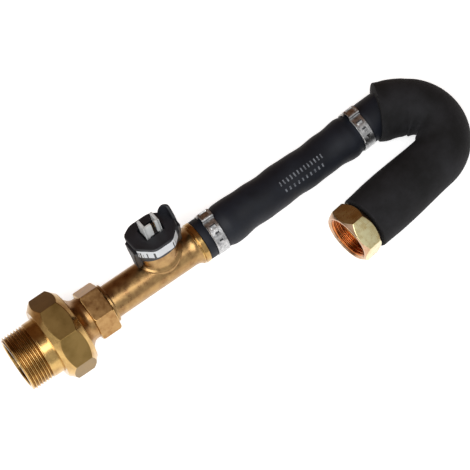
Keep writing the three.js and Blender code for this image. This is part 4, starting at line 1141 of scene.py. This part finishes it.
# The mouth is square to the hose, so its inner side starts later along the foam.
later = FOAM_SLANT * (1 - np.sin(turn)) / 2
later = later * np.clip(1 - (foam_x - foam_start) / FOAM_SLANT_LENGTH, 0, 1)
foam_points = polar(foam_x + later, foam_r, turn)
foam_points[..., 1] -= smoothly(foam_x, [(foam_start, FOAM_MOUTH_SHIFT), (BEND_START, 0.0)])
foam_points = foam_route.bend(foam_points)
foam_points[..., 2] = np.maximum(foam_points[..., 2], FOAM_OVER_FLOOR)
foam = add_piece(
    "foam_insulation_tube", [shell(foam_points)], [foam_rubber()], ["foam_sleeve"],
)

# Pipe collar
# A brass end piece brazed on the pipe, whose flange draws up against the nut's own web.
COLLAR_FLANGE, COLLAR_FLANGE_THICKNESS = 30.2, 3.4
COLLAR_NECK, COLLAR_NECK_LENGTH = 25.8, 7.4

# The heat of brazing leaves a film of oxide, so it is redder and duller than turned brass.
collar_brass = brass("brazed_brass", "#D9A660", "#A9713C", (0.28, 0.4), 0.5, 0.006)
seat = NUT_FACE - COLLAR_SEAT
back = seat - COLLAR_FLANGE_THICKNESS + 0.3
socket = PIPE / 2 + 0.3
collar_x, collar_r = rounded([
    (seat, socket - COLLAR_LIP, 0.3), (seat, COLLAR_FLANGE / 2, 0.4),
    (back, COLLAR_FLANGE / 2, 0.3), (back, COLLAR_NECK / 2),
    (seat - COLLAR_FLANGE_THICKNESS - COLLAR_NECK_LENGTH, COLLAR_NECK / 2),
    (seat - COLLAR_FLANGE_THICKNESS - COLLAR_NECK_LENGTH, socket),
    (seat - COLLAR_LIP, socket), (seat - COLLAR_LIP, socket - COLLAR_LIP),
])
add_piece(
    "pipe_collar_turned", [shell(run.bend(polar(collar_x, collar_r, full_turn(96))))],
    [collar_brass], ["pipe_collar"],
)

# Swivel nut
# Hexagon brass nut with an internal pipe thread, free to turn on the collar. Its flats are
# pickled to a pale yellow. The thread, the mouth's face and the chamfers were cut after that; the
# thread's deep red-gold is painted shade and bounce light.
SWIVEL_FLATS, SWIVEL_FACE, SWIVEL_EDGE = 38.0, 36.8, 0.3
SWIVEL_THREAD_ROOT, SWIVEL_THREAD_CREST, SWIVEL_THREAD_LENGTH = 32.9, 30.9, 11.6
SWIVEL_MOUTH, SWIVEL_MOUTH_LENGTH, SWIVEL_HOLE = 34.6, 1.4, 26.6

# The pickling acid leaves a pale, faintly rough skin with a silky shine.
pickled_brass = brass("pickled_brass", "#D9D1A5", "#C2AC78", (0.22, 0.34), 0.6, 0.006, 5.0)
# The thread is smooth and a deep red-gold: painted shade and bounce light, the colour brass takes
# deep in the nut where light bounces in it many times.
inner_brass = brass("painted_shade_thread_brass", "#C67C46", "#9A552A", (0.16, 0.26), 0.35, 0.003)
# Fine turning rings on a pinkish face, between the pale flats and the deep thread in colour.
chamfer_brass = brass("turned_chamfer_brass", "#C4A286", "#A17D5C", (0.2, 0.32), 0.4, 0.004)

angles, hexagon = polygon(6, SWIVEL_FLATS, 0.5, turn=math.pi / 6, per_flat=16)
side_x, side_r = chamfered(0, NUT_LENGTH, SWIVEL_FACE / 2, hexagon, SWIVEL_EDGE)
thread_x = np.linspace(0.35, SWIVEL_THREAD_LENGTH - 0.4, 90)[:, None]
root, top = SWIVEL_THREAD_ROOT / 2, SWIVEL_THREAD_CREST / 2
cut = root - (root - top) * (1 - thread_depth(thread_x, angles, THREAD_PITCH))
cut = np.maximum(cut, SWIVEL_MOUTH / 2 - thread_x * 0.9)
face_edge, hole = SWIVEL_FACE / 2 - 0.2, SWIVEL_HOLE / 2
back_rows = polar(
    [[NUT_LENGTH], [NUT_LENGTH], [SWIVEL_THREAD_LENGTH], [SWIVEL_THREAD_LENGTH]],
    [[face_edge], [hole], [hole], [root]], angles,
)
front_rows = polar(0.0, [[SWIVEL_MOUTH / 2], [face_edge]], angles)
swivel = np.concatenate([
    polar(side_x, side_r, angles), back_rows, polar(thread_x[::-1], cut[::-1], angles),
    front_rows,
])
swivel[..., 0] = NUT_FACE - swivel[..., 0]
finish = np.zeros(swivel.shape[:2], int)
first = len(side_x) + len(back_rows)
finish[len(side_x) + 1:first + len(cut)] = 1
finish[first:first + len(cut)][(thread_x < SWIVEL_MOUTH_LENGTH).ravel()[::-1]] = 2
finish[[-2, -1, len(side_x) - 1]] = 2
add_piece(
    "swivel_nut_hexagon", [shell(run.bend(swivel), finish=finish)],
    [pickled_brass, inner_brass, chamfer_brass],
    ["swivel_nut"], body="swivel_nut", even_flats=False,
)

# Inner pieces
# Flat fibre seals, the sensor's plug with its ring, strut and vane, and its board: the CAD's own
# solids, with the finish of what each is.
def assign(material, *nodes):
    """Gives CAD nodes one material in place of their plain one."""
    for name in nodes:
        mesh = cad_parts[name].data
        mesh.materials.clear()
        mesh.materials.append(material)


# Plated gold: an even yellow and smooth. It shares brass's pattern, which hardly shows on it.
gold_plate = brass("gold_plate", "#E8C672", "#D9AE58", (0.18, 0.26), 0.4, 0.002)
# Pressed fibre is rough and matt, seal rubber a soft black, polysulfone a smooth dark grey, and
# a board's solder lacquer an even green.
assign(plastic("fibre_seal", "#3A3C40", "#2A2C30", (0.7, 0.85), 0.4, 0.04),
       "union_seal", "adapter_seal")
assign(plastic("seal_rubber", "#242528", "#1A1B1D", (0.5, 0.62), 0.6, 0.01), "plug_seal_ring")
assign(plastic("grey_polysulfone", "#454A50", "#383C42", (0.4, 0.5), 0.5, 0.01),
       "sensor_plug", "bluff_body", "sensing_vane")
assign(plastic("green_circuit_board", "#23643C", "#1A5030", (0.35, 0.5), 0.4, 0.01),
       "circuit_board")
assign(gold_plate, *[f"contact_pin_{number}" for number in range(1, 5)])

# Studio
# A white table in a room whose wall behind the camera is pale and whose far wall is brown, which
# gives the metal its bands, under one broad soft lamp. The camera itself sees only white.
FLOOR_SIZE, FLOOR_LIFT, FLOOR_GLOW = 6.0, 0.62, 0.7
FAR_HALF_FROM, FAR_HALF_TO = 0.05, 0.14
LAMP_SIZE, LAMP_DISTANCE, LAMP_POWER = (1.2, 0.9), 1.3, 14.0


def studio_floor():
    """Matt white paper, lifted to white where the camera looks at it. Shiny surfaces see it glow
    too, but its far half as brown, like the wall behind it."""
    material, tree, shader, place = new_material("white_paper", Roughness=0.9)
    path = add_node(tree, "LightPath")
    across = add_node(tree, "SeparateXYZ", None, {"Vector": place})
    far = add_node(tree, "MapRange", {"From Min": FAR_HALF_FROM, "From Max": FAR_HALF_TO},
                   {"Value": across.outputs["Y"]})
    seen_far = add_node(tree, "Math", {"operation": "MULTIPLY"},
                        {0: far.outputs["Result"], 1: path.outputs["Is Glossy Ray"]})
    paper = add_node(
        tree, "Mix", {"data_type": "RGBA", 6: linear("#EAEAEA"), 7: linear("#9E846C")},
        {0: seen_far.outputs[0]},
    )
    lift = add_node(
        tree, "Math", {"operation": "MULTIPLY", 1: FLOOR_LIFT},
        {0: path.outputs["Is Camera Ray"]},
    )
    near = add_node(tree, "Math", {"operation": "SUBTRACT"},
                    {0: path.outputs["Is Glossy Ray"], 1: seen_far.outputs[0]})
    glow = add_node(tree, "Math", {"operation": "MULTIPLY_ADD", 1: FLOOR_GLOW},
                    {0: near.outputs[0], 2: lift.outputs[0]})
    shader.inputs["Emission Color"].default_value = linear("#FFFFFF")
    tree.links.new(paper.outputs[2], shader.inputs["Base Color"])
    tree.links.new(glow.outputs[0], shader.inputs["Emission Strength"])
    return material


half = FLOOR_SIZE / 2
table = bpy.data.meshes.new("table")
table.from_pydata([(-half, -half, 0), (half, -half, 0), (half, half, 0), (-half, half, 0)],
                  [], [(0, 1, 2, 3)])
table.materials.append(studio_floor())
floor = bpy.data.objects.new("table", table)
bpy.context.scene.collection.objects.link(floor)

world = bpy.data.worlds.new("studio_room")
bpy.context.scene.world = world
world.use_nodes = True
tree = world.node_tree
background = next(node for node in tree.nodes if node.type == "BACKGROUND")
direction = add_node(tree, "TexCoord").outputs["Generated"]
facing = add_node(
    tree, "VectorMath", {"operation": "DOT_PRODUCT", 1: (-0.53, -0.85, 0.0)}, {0: direction},
)
level = add_node(tree, "MapRange", {"From Min": -1.0, "From Max": 1.0},
                 {"Value": facing.outputs["Value"]})
room = add_node(tree, "ValToRGB", {"stops": [
    (0.0, (0.16, 0.075, 0.035, 1.0)), (0.46, (0.14, 0.07, 0.035, 1.0)),
    (0.56, (0.7, 0.7, 0.7, 1.0)), (1.0, (0.7, 0.7, 0.7, 1.0)),
]}, {"Fac": level.outputs["Result"]})
path = add_node(tree, "LightPath")
shown = add_node(
    tree, "Mix", {"data_type": "RGBA", 7: (1.0, 1.0, 1.0, 1.0)},
    {0: path.outputs["Is Camera Ray"], 6: room.outputs["Color"]},
)
tree.links.new(shown.outputs[2], background.inputs["Color"])

lamp = bpy.data.objects.new("soft_box", bpy.data.lights.new("soft_box", "AREA"))
lamp.data.shape = "RECTANGLE"
lamp.data.size, lamp.data.size_y = LAMP_SIZE
lamp.data.energy = LAMP_POWER
lamp_side = Vector((-0.35, -0.3, 0.89)).normalized()
lamp.location = LAMP_DISTANCE * lamp_side
lamp.rotation_euler = lamp_side.to_track_quat("Z", "Y").to_euler()
bpy.context.scene.collection.objects.link(lamp)
bpy.context.scene.view_settings.view_transform = "Standard"
